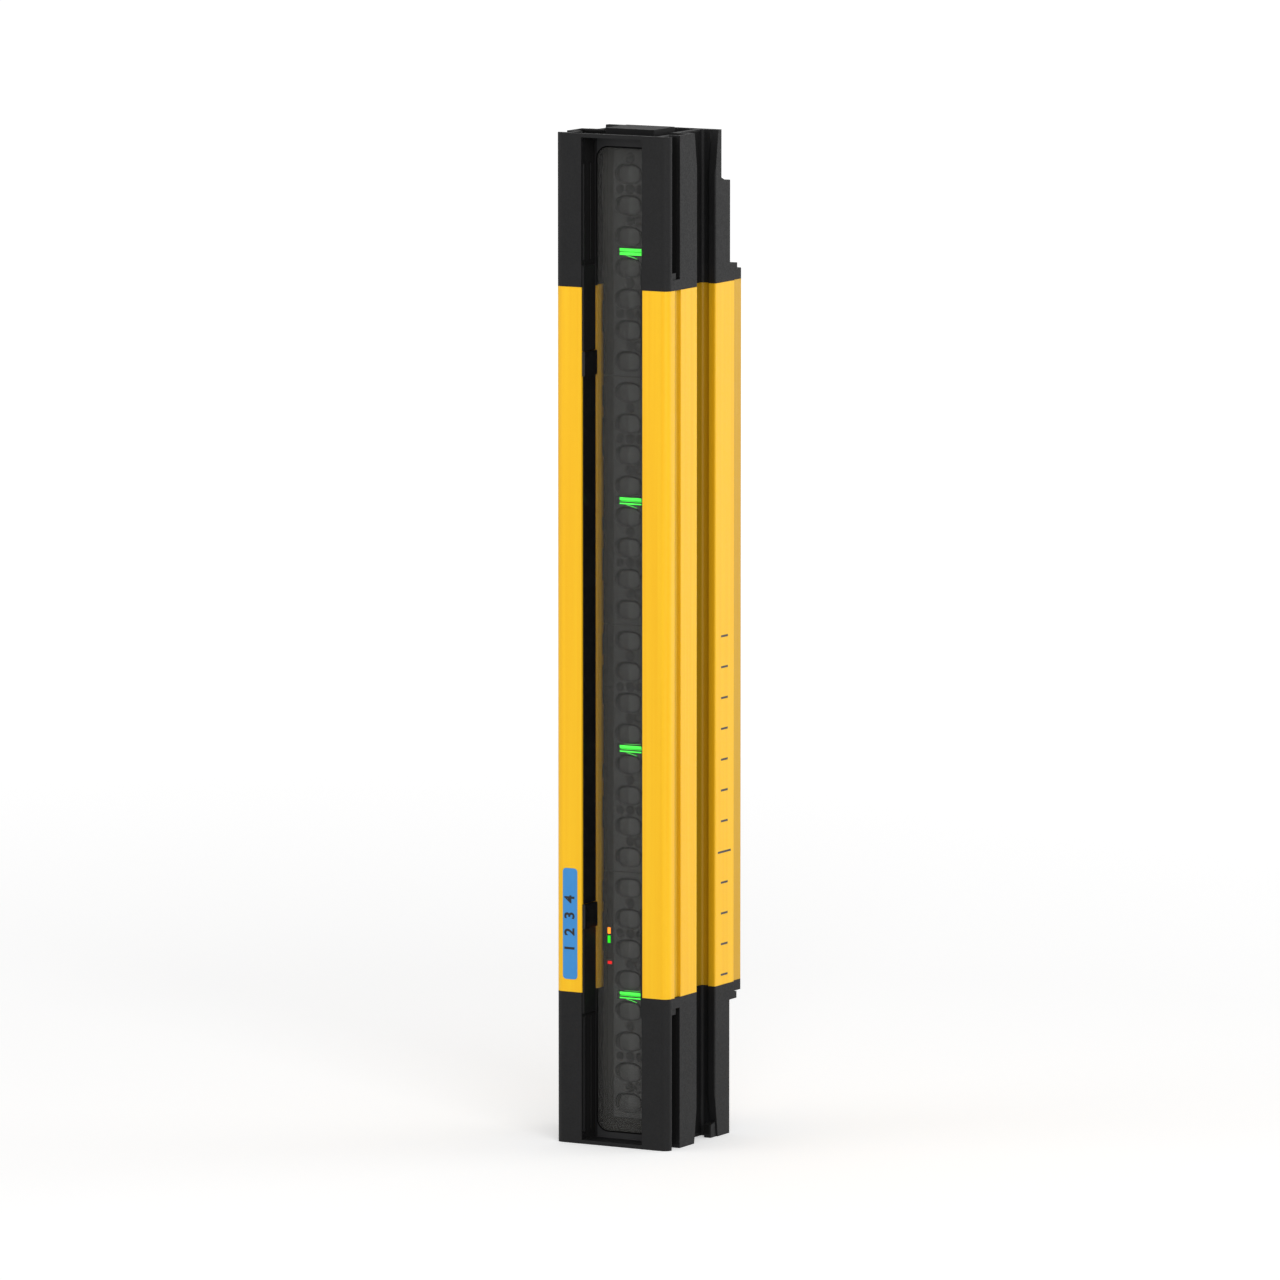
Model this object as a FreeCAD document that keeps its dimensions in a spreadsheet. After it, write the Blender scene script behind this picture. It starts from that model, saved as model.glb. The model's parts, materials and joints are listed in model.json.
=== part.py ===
# Safety light curtain receiver: an extruded housing with a moulded cap at each end, a tinted window
# in its front slot and, behind the window, four optic modules with their boards.
# Frame: X across, Y from the front face to the back, Z up, origin under the middle of the housing.
import FreeCAD, Part
import os
import re
import Sketcher

doc = FreeCAD.newDocument("light_curtain")
sheet = doc.addObject("Spreadsheet::Sheet", "Sizes")

# Driving dimensions in millimetres. A size that ends in _front or _rear is a distance behind the front face.
sizes = {
    # whole
    "body_width": 36.0,
    "body_depth": 45.2,
    "tube_length": 199.0,
    "cap_height": 43.0,
    # housing section
    "flange_width": 8.35,
    "front_radius": 2.2,
    "rear_radius": 1.5,
    "edge_radius": 0.4,
    "side_groove_front": 3.9,
    "side_groove_width": 3.5,
    "side_groove_depth": 0.8,
    "tee_front": 17.0,
    "tee_mouth": 10.6,
    "tee_depth": 5.0,
    "tee_lip": 2.2,
    "tee_undercut": 1.2,
    "tee_floor_radius": 0.9,
    "rear_step_length": 6.6,
    "rear_step_depth": 0.8,
    "wall": 1.8,
    "rear_wall": 2.3,
    "cavity_front": 13.5,
    "cavity_depth": 18.0,
    "flange_cell_width": 3.8,
    "flange_cell_depth": 4.2,
    "flange_cell_front": 2.2,
    # screws and their channels
    "screw_diameter": 3.0,
    "screw_clearance": 0.1,
    "screw_reach": 10.0,
    "screw_head_diameter": 5.4,
    "screw_head_height": 1.9,
    "screw_socket_diameter": 2.5,
    "screw_socket_depth": 1.1,
    "screw_boss_diameter": 6.6,
    "screw_spacing": 18.0,
    "screw_inset": 5.0,
    # window and what holds it
    "window_front": 7.6,
    "window_thickness": 1.6,
    "window_groove": 0.85,
    "window_clearance": 0.1,
    "seal_thickness": 0.3,
    "seal_front": 0.4,
    "clip_thickness": 0.85,
    "clip_length": 6.9,
    "tongue_thickness": 0.6,
    "tongue_length": 18.0,
    "tongue_root": 6.0,
    # end caps
    "plate_thickness": 3.0,
    "ledge_depth": 9.1,
    "upper_ledge_depth": 14.2,
    "upper_step_drop": 14.5,
    "step_rib_depth": 2.4,
    "step_rib_height": 1.0,
    "ledge_block_width": 3.6,
    "ledge_block_depth": 4.2,
    "ledge_block_height": 1.9,
    "cap_slot_front": 2.3,
    "cap_slot_width": 4.6,
    "cap_slot_depth": 3.2,
    "slot_stop_width": 3.0,
    "slot_stop_height": 1.8,
    "recess_depth": 7.1,
    "rim": 1.1,
    "opening_width": 17.0,
    "opening_radius": 3.5,
    "top_sill": 4.0,
    "bottom_sill": 2.9,
    "window_overlap": 1.0,
    "cap_end_wall": 4.4,
    "end_pocket_depth": 2.7,
    "end_pocket_front": 7.9,
    "end_pocket_shoulder": 13.9,
    "end_rear_wall": 1.65,
    "end_shelf_depth": 0.6,
    "flare_length": 12.0,
    "flare_widening": 1.6,
    "foot_length": 3.6,
    "foot_reach": 1.7,
    "foot_slope": 0.7,
    "gasket_thickness": 0.8,
    "gasket_width": 1.0,
    # optic modules
    "module_count": 4,
    "lenses_each": 8,
    "lens_foot": 10.85,
    "lens_head": 11.65,
    "lens_radius": 3.1,
    "lens_rise": 1.0,
    "channel_width": 4.8,
    "bar_place": 3.5,
    "bar_width": 7.8,
    "bar_margin": 0.275,
    "bar_groove": 0.4,
    "module_front": 10.4,
    "module_side_gap": 1.3,
    "module_gap": 0.2,
    "slide_clearance": 0.3,
    "module_flange": 1.8,
    "module_waist": 2.1,
    "module_rear": 19.6,
    "strip_width": 10.4,
    "strip_thickness": 1.4,
    "strip_clearance": 0.1,
    # status lights
    "orange_height": 1.7,
    "orange_rise": 16.5,
    "green_height": 2.0,
    "green_rise": 14.0,
    "red_height": 1.2,
    "red_rise": 7.6,
    # boards
    "board_thickness": 1.6,
    "photodiode_size": 3.4,
    "photodiode_thickness": 1.4,
    "link_width": 8.0,
    "link_height": 8.0,
    "link_depth": 2.0,
    "control_front": 27.0,
    "control_rise": 7.0,
    "control_length": 72.0,
    "header_width": 14.0,
    "header_height": 5.0,
    "header_rise": 12.0,
    "chip_size": 9.0,
    "chip_foot": 9.0,
    "chip_thickness": 1.2,
    "chip_pitch": 18.0,
    "chip_count": 3,
    # ports
    "cover_width": 15.5,
    "cover_depth": 12.6,
    "cover_front": 10.2,
    "cover_stand": 0.9,
    "cover_edge": 0.5,
    "socket_width": 19.2,
    "socket_front_wall": 1.6,
    "socket_rear_wall": 2.6,
    "socket_length": 14.0,
    "socket_inset": 2.0,
    "socket_wall": 1.4,
    "socket_floor": 3.0,
    "socket_clearance": 0.1,
    "key_width": 4.0,
    "key_height": 0.8,
    "pin_side": 0.9,
    "pin_length": 7.0,
    "pin_pitch": 3.6,
    "lead_bore": 7.0,
    "lead_width": 5.0,
    "lead_thickness": 0.8,
    # label
    "label_width": 4.6,
    "label_length": 31.5,
    "label_inset": 2.4,
    "label_rise": 3.6,
    "label_thickness": 0.12,
    "label_radius": 1.0,
}
for row, (alias, size) in enumerate(sizes.items(), start=1):
    sheet.set(f"A{row}", alias.replace("_", " "))
    sheet.set(f"B{row}", str(size))
    sheet.setAlias(f"B{row}", alias)
doc.recompute()

module_count = sizes["module_count"]
overshoot = 1.0  # how far a cutting outline runs past the face that it opens
touching = 0.01  # how near an edge lies to the place that names it


def bound(text):
    """The expression with each size named in the sheet."""
    return re.sub(r"[a-z_]+", lambda word: ("Sizes." if word.group() in sizes else "") + word.group(), text)


def value(text):
    """What the expression comes to."""
    return float(sheet.evalExpression(bound(text)))


def behind(text):
    """Y of a distance behind the front face."""
    return f"({text}) - body_depth / 2"


half = "body_width / 2"
slot_half = "(body_width / 2 - flange_width)"
groove_half = "(body_width / 2 - flange_width + window_groove)"
cavity_half = "(body_width / 2 - tee_depth - wall)"
cavity_rear = "(cavity_front + cavity_depth)"
cap_rear = "(body_depth - ledge_depth)"
upper_cap_rear = "(body_depth - upper_ledge_depth)"
board_rear = "(module_rear + board_thickness)"
room_rear = "(module_rear + board_thickness + slide_clearance)"
tube_foot = "cap_height"
tube_head = "(cap_height + tube_length)"
control_foot = "(cap_height + control_rise)"

# The lenses are spread evenly over the whole length; the top module has one lens fewer than the others.
last_lens = "(module_count * lenses_each - 2)"
lens_pitch = f"((tube_length + 2 * cap_height - lens_foot - lens_head) / {last_lens})"
bar_half_height = f"({lens_pitch} / 2 - lens_radius - bar_margin)"

# A status light takes half of the room between the lens strip and the side of its module.
module_half = "(body_width / 2 - flange_width - module_side_gap)"
status_room = f"({module_half} - strip_width / 2)"
status_half = f"({status_room} / 4)"
status_centre = f"-({module_half} - {status_room} / 3 - {status_half})"

# The socket fills what the module room and the back wall of the lower cap leave.
socket_front = f"({room_rear} + socket_front_wall)"
socket_depth = f"({cap_rear} - socket_rear_wall - {socket_front})"
pin_row_pitch = f"(({socket_depth} - 2 * socket_wall - key_height) / 2)"


def new_body(label, height="0", turned=False, several=False):
    """A body whose frame stands at this height, turned end for end if asked."""
    body = doc.addObject("PartDesign::Body", label)
    body.Label = label
    body.AllowCompound = several
    if turned:
        body.Placement.Rotation = FreeCAD.Rotation(FreeCAD.Vector(0, 1, 0), 180)
    body.setExpression("Placement.Base.z", bound(height))
    return body


def new_sketch(body, name, role="XY_Plane", offset="0"):
    """A sketch on one of the body's own planes, moved along its normal."""
    sketch = body.newObject("Sketcher::SketchObject", name)
    plane = next(feature for feature in body.Origin.OriginFeatures if feature.Role == role)
    sketch.AttachmentSupport = [(plane, "")]
    sketch.MapMode = "FlatFace"
    sketch.setExpression("AttachmentOffset.Base.z", bound(offset))
    return sketch


def pin_point(sketch, geometry, point, across, along):
    """Hold a point of the sketch at two sizes from its origin."""
    for kind, axis, text in (("DistanceX", -2, across), ("DistanceY", -1, along)):
        if abs(value(text)) < touching:
            sketch.addConstraint(Sketcher.Constraint("PointOnObject", geometry, point, axis))
        else:
            index = sketch.addConstraint(Sketcher.Constraint(kind, -1, 1, geometry, point, value(text)))
            sketch.setExpression(f"Constraints[{index}]", bound(text))


def draw_outline(sketch, corners):
    """A closed outline of straight lines through the corners."""
    first = sketch.GeometryCount
    places = [FreeCAD.Vector(value(across), value(along), 0) for across, along in corners]
    for index, place in enumerate(places):
        sketch.addGeometry(Part.LineSegment(place, places[(index + 1) % len(places)]), False)
    for index, (across, along) in enumerate(corners):
        following = first + (index + 1) % len(corners)
        sketch.addConstraint(Sketcher.Constraint("Coincident", first + index, 2, following, 1))
        pin_point(sketch, first + index, 1, across, along)


def draw_box(sketch, left, right, low, high):
    draw_outline(sketch, [(left, low), (right, low), (right, high), (left, high)])


def draw_circle(sketch, across, along, radius):
    centre = FreeCAD.Vector(value(across), value(along), 0)
    geometry = sketch.addGeometry(Part.Circle(centre, FreeCAD.Vector(0, 0, 1), value(radius)), False)
    pin_point(sketch, geometry, 3, across, along)
    index = sketch.addConstraint(Sketcher.Constraint("Radius", geometry, value(radius)))
    sketch.setExpression(f"Constraints[{index}]", bound(radius))


def draw_hexagon(sketch, across, along, radius):
    """A six-sided outline about a place, with two of its corners level with it."""
    rise = f"{radius} * sqrt(3) / 2"
    draw_outline(sketch, [
        (f"{across} + {radius}", along),
        (f"{across} + {radius} / 2", f"{along} + {rise}"),
        (f"{across} - {radius} / 2", f"{along} + {rise}"),
        (f"{across} - {radius}", along),
        (f"{across} - {radius} / 2", f"{along} - {rise}"),
        (f"{across} + {radius} / 2", f"{along} - {rise}"),
    ])


def mirrored(right):
    """The corners of the right side, given front to back, and the same on the left."""
    return right + [(f"-({across})", along) for across, along in reversed(right)]


def pad(body, sketch, length, reverse=False):
    """Add the sketch's outline over this length, and make sure that it adds material."""
    before = sum(solid.Volume for solid in body.Shape.Solids)
    feature = body.newObject("PartDesign::Pad", sketch.Name + "_pad")
    feature.Profile = sketch
    feature.setExpression("Length", bound(length))
    feature.Reversed = reverse
    sketch.Visibility = False
    doc.recompute()
    if body.Shape.Volume <= before:
        raise RuntimeError(f"{feature.Name} adds nothing")
    return feature


def pocket(body, sketch, length, reverse=False, centred=False):
    """Cut the sketch's outline over this length, and make sure that it takes material."""
    before = body.Shape.Volume
    feature = body.newObject("PartDesign::Pocket", sketch.Name + "_pocket")
    feature.Profile = sketch
    feature.setExpression("Length", bound(length))
    feature.Reversed = reverse
    feature.Midplane = centred
    doc.recompute()
    if body.Shape.Volume >= before:
        raise RuntimeError(f"{feature.Name} cuts nothing")
    return feature


def repeat_up(body, features, spacing, count):
    """Repeat features upwards at this spacing."""
    pattern = body.newObject("PartDesign::LinearPattern", features[0].Name + "_row")
    pattern.Originals = features
    axis = next(feature for feature in body.Origin.OriginFeatures if feature.Role == "Z_Axis")
    pattern.Direction = (axis, [""])
    pattern.setExpression("Length", bound(f"({spacing}) * (({count}) - 1)"))
    pattern.setExpression("Occurrences", bound(count))
    body.Tip = pattern
    doc.recompute()
    return pattern


def mirror_across(body, features):
    """The same features on the other side of the middle plane."""
    mirror = body.newObject("PartDesign::Mirrored", features[0].Name + "_mirrored")
    mirror.Originals = features
    plane = next(feature for feature in body.Origin.OriginFeatures if feature.Role == "YZ_Plane")
    mirror.MirrorPlane = (plane, [""])
    body.Tip = mirror
    doc.recompute()
    return mirror


def edges_along(shape, direction, places):
    """Names of the straight edges along a direction whose middle lies at one of the places.
    A place gives the two coordinates that the direction leaves free."""
    free = [index for index in range(3) if abs(direction[index]) < touching]
    found = []
    for number, edge in enumerate(shape.Edges, start=1):
        if not isinstance(edge.Curve, Part.Line):
            continue
        if abs(abs(edge.Curve.Direction.dot(direction)) - 1) > touching:
            continue
        middle = edge.CenterOfMass
        for place in places:
            if all(abs(middle[index] - place[order]) < touching for order, index in enumerate(free)):
                found.append(f"Edge{number}")
                break
    return found


upright = FreeCAD.Vector(0, 0, 1)
inward = FreeCAD.Vector(0, 1, 0)


def round_edges(body, name, radius, direction, places):
    """Round the edges that lie along a direction at these places."""
    base = body.Tip
    points = [tuple(value(text) for text in place) for place in places]
    names = edges_along(base.Shape, direction, points)
    if not names:
        raise RuntimeError(f"{name} finds no edge")
    feature = body.newObject("PartDesign::Fillet", name)
    feature.Base = (base, names)
    feature.setExpression("Radius", bound(radius))
    body.Tip = feature
    doc.recompute()
    return feature


def both_sides(places):
    """The places on the right and their mirror images on the left."""
    return places + [(f"-({across})", along) for across, along in places]


def section_corners(grooved):
    """Right side of the outer section, front to back: shallow groove, tee slot and stepped rear edge."""
    lip = "body_width / 2 - tee_lip"
    floor = "body_width / 2 - tee_depth"
    side_floor = "body_width / 2 - side_groove_depth"
    step = "body_width / 2 - rear_step_depth"
    corners = [(half, behind("0"))]
    if grooved:
        corners += [(half, behind("side_groove_front")), (side_floor, behind("side_groove_front"))]
        corners += [(side_floor, behind("side_groove_front + side_groove_width"))]
        corners += [(half, behind("side_groove_front + side_groove_width"))]
    corners += [(half, behind("tee_front")), (lip, behind("tee_front"))]
    corners += [(lip, behind("tee_front - tee_undercut")), (floor, behind("tee_front - tee_undercut"))]
    corners += [(floor, behind("tee_front + tee_mouth + tee_undercut"))]
    corners += [(lip, behind("tee_front + tee_mouth + tee_undercut"))]
    corners += [(lip, behind("tee_front + tee_mouth")), (half, behind("tee_front + tee_mouth"))]
    corners += [(half, behind("body_depth - rear_step_length"))]
    corners += [(step, behind("body_depth - rear_step_length"))]
    corners += [(step, behind("body_depth"))]
    return corners


def round_section(body):
    """The rounded corners that the housing and the caps share."""
    floor = "body_width / 2 - tee_depth"
    rear_corner = [("body_width / 2 - rear_step_depth", behind("body_depth"))]
    floor_corners = [(floor, behind("tee_front - tee_undercut"))]
    floor_corners += [(floor, behind("tee_front + tee_mouth + tee_undercut"))]
    lip_corners = [(half, behind("tee_front")), (half, behind("tee_front + tee_mouth"))]
    front_corner = [(half, behind("0"))]
    round_edges(body, body.Name + "_front_corners", "front_radius", upright, both_sides(front_corner))
    round_edges(body, body.Name + "_rear_corners", "rear_radius", upright, both_sides(rear_corner))
    round_edges(body, body.Name + "_tee_floor", "tee_floor_radius", upright, both_sides(floor_corners))
    round_edges(body, body.Name + "_tee_lips", "edge_radius", upright, both_sides(lip_corners))


screw_place = ("screw_spacing / 2", behind("body_depth - screw_inset"))


def channel_corners():
    """Right side of the front slot, the window's groove and the wide cavity behind."""
    return [
        (slot_half, behind(f"-{overshoot}")),
        (slot_half, behind("window_front - window_clearance")),
        (groove_half, behind("window_front - window_clearance")),
        (groove_half, behind("window_front + window_thickness + window_clearance")),
        (slot_half, behind("window_front + window_thickness + window_clearance")),
        (slot_half, behind("cavity_front")),
        (cavity_half, behind("cavity_front")),
        (cavity_half, behind(cavity_rear)),
    ]


def make_housing():
    """Extruded housing: front slot for the window, tee slots at the sides, hollow back and screw channels."""
    body = new_body("housing", tube_foot)
    section = new_sketch(body, "housing_section")
    draw_outline(section, mirrored(section_corners(True)))
    pad(body, section, "tube_length")
    round_section(body)

    channel = new_sketch(body, "housing_channel")
    draw_outline(channel, mirrored(channel_corners()))
    pocket(body, channel, "tube_length", reverse=True)
    round_edges(body, "housing_slot_edges", "edge_radius", upright, both_sides([(slot_half, behind("0"))]))

    chamber = new_sketch(body, "housing_rear_chamber")
    side = "body_width / 2 - rear_step_depth - wall"
    draw_box(chamber, f"-({side})", side, behind(f"{cavity_rear} + wall"), behind("body_depth - rear_wall"))
    pocket(body, chamber, "tube_length", reverse=True)

    cells = new_sketch(body, "housing_flange_cells")
    inner = f"{slot_half} + wall"
    outer = f"{slot_half} + wall + flange_cell_width"
    cell_rear = behind("flange_cell_front + flange_cell_depth")
    draw_box(cells, inner, outer, behind("flange_cell_front"), cell_rear)
    draw_box(cells, f"-({outer})", f"-({inner})", behind("flange_cell_front"), cell_rear)
    pocket(body, cells, "tube_length", reverse=True)

    bosses = new_sketch(body, "housing_screw_bosses")
    holes = new_sketch(body, "housing_screw_holes")
    for across, along in both_sides([screw_place]):
        draw_circle(bosses, across, along, "screw_boss_diameter / 2")
        draw_circle(holes, across, along, "screw_diameter / 2 + screw_clearance / 2")
    pad(body, bosses, "tube_length")
    pocket(body, holes, "tube_length", reverse=True)
    return body


def gasket_corners(margin):
    """Horseshoe round the cavity, open at the window, grown by a margin."""
    opening = behind("window_front + window_thickness + gasket_width / 2")
    inner_side = f"{slot_half} - ({margin})"
    inner_back = f"{cavity_half} - ({margin})"
    outer_side = f"{cavity_half} + gasket_width + ({margin})"
    inner = [
        (inner_side, opening),
        (inner_side, behind(f"cavity_front + ({margin})")),
        (inner_back, behind(f"cavity_front + ({margin})")),
        (inner_back, behind(f"{cavity_rear} - ({margin})")),
    ]
    outer = [(outer_side, opening), (outer_side, behind(f"{cavity_rear} + gasket_width + ({margin})"))]
    left_outer = [(f"-({across})", along) for across, along in reversed(outer)]
    left_inner = [(f"-({across})", along) for across, along in inner]
    return outer + left_outer + left_inner + list(reversed(inner))


def make_cap(label, at_top):
    """Moulded end cap. Its plate meets the housing at the cap's own floor, and its outer end is up."""
    body = new_body(label, tube_head if at_top else tube_foot, turned=not at_top)
    section = new_sketch(body, label + "_section")
    draw_outline(section, mirrored(section_corners(False)))
    pad(body, section, "cap_height")
    round_section(body)

    # The back is cut away above the plate, and once more near the end of the top cap.
    back = new_sketch(body, label + "_back", "YZ_Plane")
    beyond = behind(f"body_depth + {overshoot}")
    outline = [(behind(cap_rear), "plate_thickness"), (beyond, "plate_thickness")]
    outline += [(beyond, f"cap_height + {overshoot}")]
    if at_top:
        step = "(cap_height - upper_step_drop)"
        rib_rear = behind(f"{upper_cap_rear} + step_rib_depth")
        outline += [(behind(upper_cap_rear), f"cap_height + {overshoot}")]
        outline += [(behind(upper_cap_rear), f"{step} + step_rib_height")]
        outline += [(rib_rear, step), (behind(cap_rear), step)]
    else:
        outline += [(behind(cap_rear), f"cap_height + {overshoot}")]
    draw_outline(back, outline)
    pocket(body, back, f"body_width + {overshoot}", centred=True)

    blocks = new_sketch(body, label + "_ledge_blocks", offset="plate_thickness")
    block_rear = behind(f"{cap_rear} + ledge_block_depth")
    inner = "body_width / 2 - ledge_block_width"
    draw_box(blocks, inner, half, behind(cap_rear), block_rear)
    draw_box(blocks, f"-({half})", f"-({inner})", behind(cap_rear), block_rear)
    pad(body, blocks, "ledge_block_height")

    # A deep slot down each side, open at the outer end, with a low stop at its foot.
    slots = new_sketch(body, label + "_side_slots", offset="plate_thickness")
    floor = "body_width / 2 - cap_slot_depth"
    past = f"body_width / 2 + {overshoot}"
    slot_rear = behind("cap_slot_front + cap_slot_width")
    draw_box(slots, floor, past, behind("cap_slot_front"), slot_rear)
    draw_box(slots, f"-({past})", f"-({floor})", behind("cap_slot_front"), slot_rear)
    pocket(body, slots, "cap_height", reverse=True)
    stops = new_sketch(body, label + "_slot_stops", offset="plate_thickness")
    stop_side = "body_width / 2 - edge_radius"
    stop_rear = behind("cap_slot_front + slot_stop_width")
    draw_box(stops, floor, stop_side, behind("cap_slot_front"), stop_rear)
    draw_box(stops, f"-({stop_side})", f"-({floor})", behind("cap_slot_front"), stop_rear)
    pad(body, stops, "slot_stop_height")

    # The front recess, the window's groove and the room for the optic modules.
    reach = "(cap_height - top_sill)" if at_top else "(cap_height - bottom_sill)"
    recess = new_sketch(body, label + "_recess")
    draw_box(recess, f"-{slot_half}", slot_half, behind(f"-{overshoot}"), behind("recess_depth"))
    pocket(body, recess, "cap_height - rim", reverse=True)
    groove = new_sketch(body, label + "_window_groove")
    groove_front = behind("window_front - window_clearance")
    groove_rear = behind("window_front + window_thickness + window_clearance")
    draw_box(groove, f"-{groove_half}", groove_half, groove_front, groove_rear)
    pocket(body, groove, f"{reach} + window_overlap + window_clearance", reverse=True)
    room = new_sketch(body, label + "_module_room")
    corners = [(slot_half, behind("window_front + window_thickness"))]
    corners += [(slot_half, behind("cavity_front")), (cavity_half, behind("cavity_front"))]
    corners += [(cavity_half, behind(room_rear))]
    draw_outline(room, mirrored(corners))
    pocket(body, room, "cap_height - cap_end_wall", reverse=True)
    sill_plane = f"-({behind('recess_depth - window_clearance')})"
    opening = new_sketch(body, label + "_opening", "XZ_Plane", sill_plane)
    draw_box(opening, "-opening_width / 2", "opening_width / 2", f"-{overshoot}", reach)
    pocket(body, opening, "window_front - recess_depth + window_clearance")
    corner_places = both_sides([("opening_width / 2", reach)])
    round_edges(body, label + "_opening_corners", "opening_radius", inward, corner_places)

    # The outer end is a shallow pocket behind a rim.
    shelf = new_sketch(body, label + "_end_shelf", offset="cap_height")
    shelf_side = "body_width / 2 - cap_slot_depth - rim"
    draw_box(shelf, f"-({shelf_side})", shelf_side, behind("rim"), behind("end_pocket_front + rim"))
    pocket(body, shelf, "end_shelf_depth")
    end = new_sketch(body, label + "_end_pocket", offset="cap_height")
    end_rear = behind(f"{upper_cap_rear if at_top else cap_rear} - end_rear_wall")
    corners = [("body_width / 2 - rim", behind("end_pocket_front"))]
    corners += [("body_width / 2 - rim", behind("end_pocket_shoulder"))]
    corners += [(cavity_half, behind("end_pocket_shoulder")), (cavity_half, end_rear)]
    draw_outline(end, mirrored(corners))
    pocket(body, end, "end_pocket_depth")

    # The tee slot widens towards the outer end.
    for side, reverse in (("", False), ("-", True)):
        name = label + ("_left_flare" if reverse else "_right_flare")
        flare = new_sketch(body, name, "YZ_Plane", f"{side}({half})")
        mouth_rear = "tee_front + tee_mouth"
        start = "cap_height - flare_length"
        draw_outline(flare, [
            (behind("tee_front"), start),
            (behind(mouth_rear), start),
            (behind(f"{mouth_rear} + flare_widening"), "cap_height"),
            (behind("tee_front - flare_widening"), "cap_height"),
        ])
        pocket(body, flare, "tee_lip", reverse=reverse)
        if not at_top:
            foot = new_sketch(body, name + "_foot", "YZ_Plane", f"{side}({half} - edge_radius)")
            draw_outline(foot, [
                (behind(f"{mouth_rear} - foot_reach"), "cap_height"),
                (behind(f"{mouth_rear} - foot_reach"), "cap_height - foot_length"),
                (behind(f"{mouth_rear} + flare_widening / 2"), "cap_height - foot_length - foot_slope"),
                (behind(f"{mouth_rear} + flare_widening"), "cap_height"),
            ])
            pad(body, foot, "tee_lip", reverse=not reverse)

    holes = new_sketch(body, label + "_screw_holes")
    for across, along in both_sides([screw_place]):
        draw_circle(holes, across, along, "screw_diameter / 2 + screw_clearance")
    pocket(body, holes, "plate_thickness", reverse=True)
    seat = new_sketch(body, label + "_gasket_seat")
    draw_outline(seat, gasket_corners("0"))
    pocket(body, seat, "gasket_thickness", reverse=True)

    # Two tongues, rooted in the walls of the recess, run down inside the front slot of the housing.
    roots = new_sketch(body, label + "_tongue_roots")
    draw_tongues(roots, f"{slot_half} + window_clearance")
    pad(body, roots, "tongue_root")
    tongues = new_sketch(body, label + "_tongues")
    draw_tongues(tongues, f"{slot_half} - window_clearance / 2")
    pad(body, tongues, "tongue_length", reverse=True)

    if not at_top:
        socket = new_sketch(body, label + "_socket_room", offset="cap_height")
        side = "socket_width / 2 + socket_clearance"
        room_back = behind(f"{socket_front} + {socket_depth} + socket_clearance")
        draw_box(socket, f"-({side})", side, behind(f"{socket_front} - socket_clearance"), room_back)
        pocket(body, socket, "socket_length")
        bore = new_sketch(body, label + "_lead_bore")
        draw_circle(bore, "0", behind("control_front + lead_thickness / 2"), "lead_bore / 2")
        pocket(body, bore, "cap_height - socket_length", reverse=True)
    return body


def draw_tongues(sketch, outside):
    """Section of the two tongues, out to this distance from the middle."""
    inside = f"{slot_half} - tongue_thickness"
    draw_box(sketch, inside, outside, behind("seal_front"), behind("recess_depth"))
    draw_box(sketch, f"-({outside})", f"-({inside})", behind("seal_front"), behind("recess_depth"))


def make_gasket(label, at_top):
    """Flat seal between a cap's plate and the end of the housing."""
    body = new_body(label, tube_head if at_top else tube_foot, turned=not at_top)
    sketch = new_sketch(body, label + "_outline")
    draw_outline(sketch, gasket_corners("-window_clearance / 2"))
    pad(body, sketch, "gasket_thickness")
    return body


def make_window():
    """Tinted sheet that slides into the grooves of the housing and both caps."""
    low = "(bottom_sill - window_overlap)"
    high = f"({tube_head} + cap_height - top_sill + window_overlap)"
    body = new_body("window", low)
    sketch = new_sketch(body, "window_section")
    side = f"{groove_half} - window_clearance"
    draw_box(sketch, f"-({side})", side, behind("window_front"), behind("window_front + window_thickness"))
    pad(body, sketch, f"{high} - {low}")
    return body


def make_seals():
    """Black strips and clip blocks that line the walls of the front slot between the tongues of the caps."""
    gap = "window_clearance"
    wall_face = f"{slot_half} - {gap} / 2"
    clip_low = f"{tube_foot} + tongue_length + {gap}"
    clip_high = f"{tube_head} - tongue_length - {gap} - clip_length"
    seal_low = f"{clip_low} + clip_length + {gap}"
    seal_length = f"tube_length - 2 * (tongue_length + clip_length + 2 * {gap})"
    for side, sign in (("left", "-"), ("right", "")):
        pieces = [
            (f"{side}_window_seal", seal_low, seal_length, "seal_thickness", "seal_front + edge_radius"),
            (f"{side}_lower_clip", clip_low, "clip_length", "clip_thickness", "seal_front"),
            (f"{side}_upper_clip", clip_high, "clip_length", "clip_thickness", "seal_front"),
        ]
        for label, low, length, thickness, front in pieces:
            body = new_body(label, low)
            sketch = new_sketch(body, label + "_section")
            corners = [
                (f"{sign}({wall_face} - {thickness})", behind(front)),
                (f"{sign}({wall_face})", behind(front)),
                (f"{sign}({wall_face})", behind("window_front")),
                (f"{sign}({wall_face} - {thickness})", behind("window_front")),
            ]
            draw_outline(sketch, corners)
            pad(body, sketch, length)
            if "clip" in label:
                inner_front = [(f"{sign}({wall_face} - {thickness})", behind(front))]
                round_edges(body, label + "_edge", "edge_radius", upright, inner_front)


def status_lights():
    """Name, height and place of each status light."""
    colours = ("orange", "green", "red")
    return [(colour, f"{colour}_height", f"(cap_height + {colour}_rise)") for colour in colours]


def bar_box(sketch, margin):
    """The zone bar's outline in a module's own frame, grown by a margin."""
    middle = f"bar_place * {lens_pitch}"
    side = f"bar_width / 2 + {margin}"
    reach = f"({bar_half_height} + {margin})"
    draw_box(sketch, f"-({side})", side, f"{middle} - {reach}", f"{middle} + {reach}")


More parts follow.
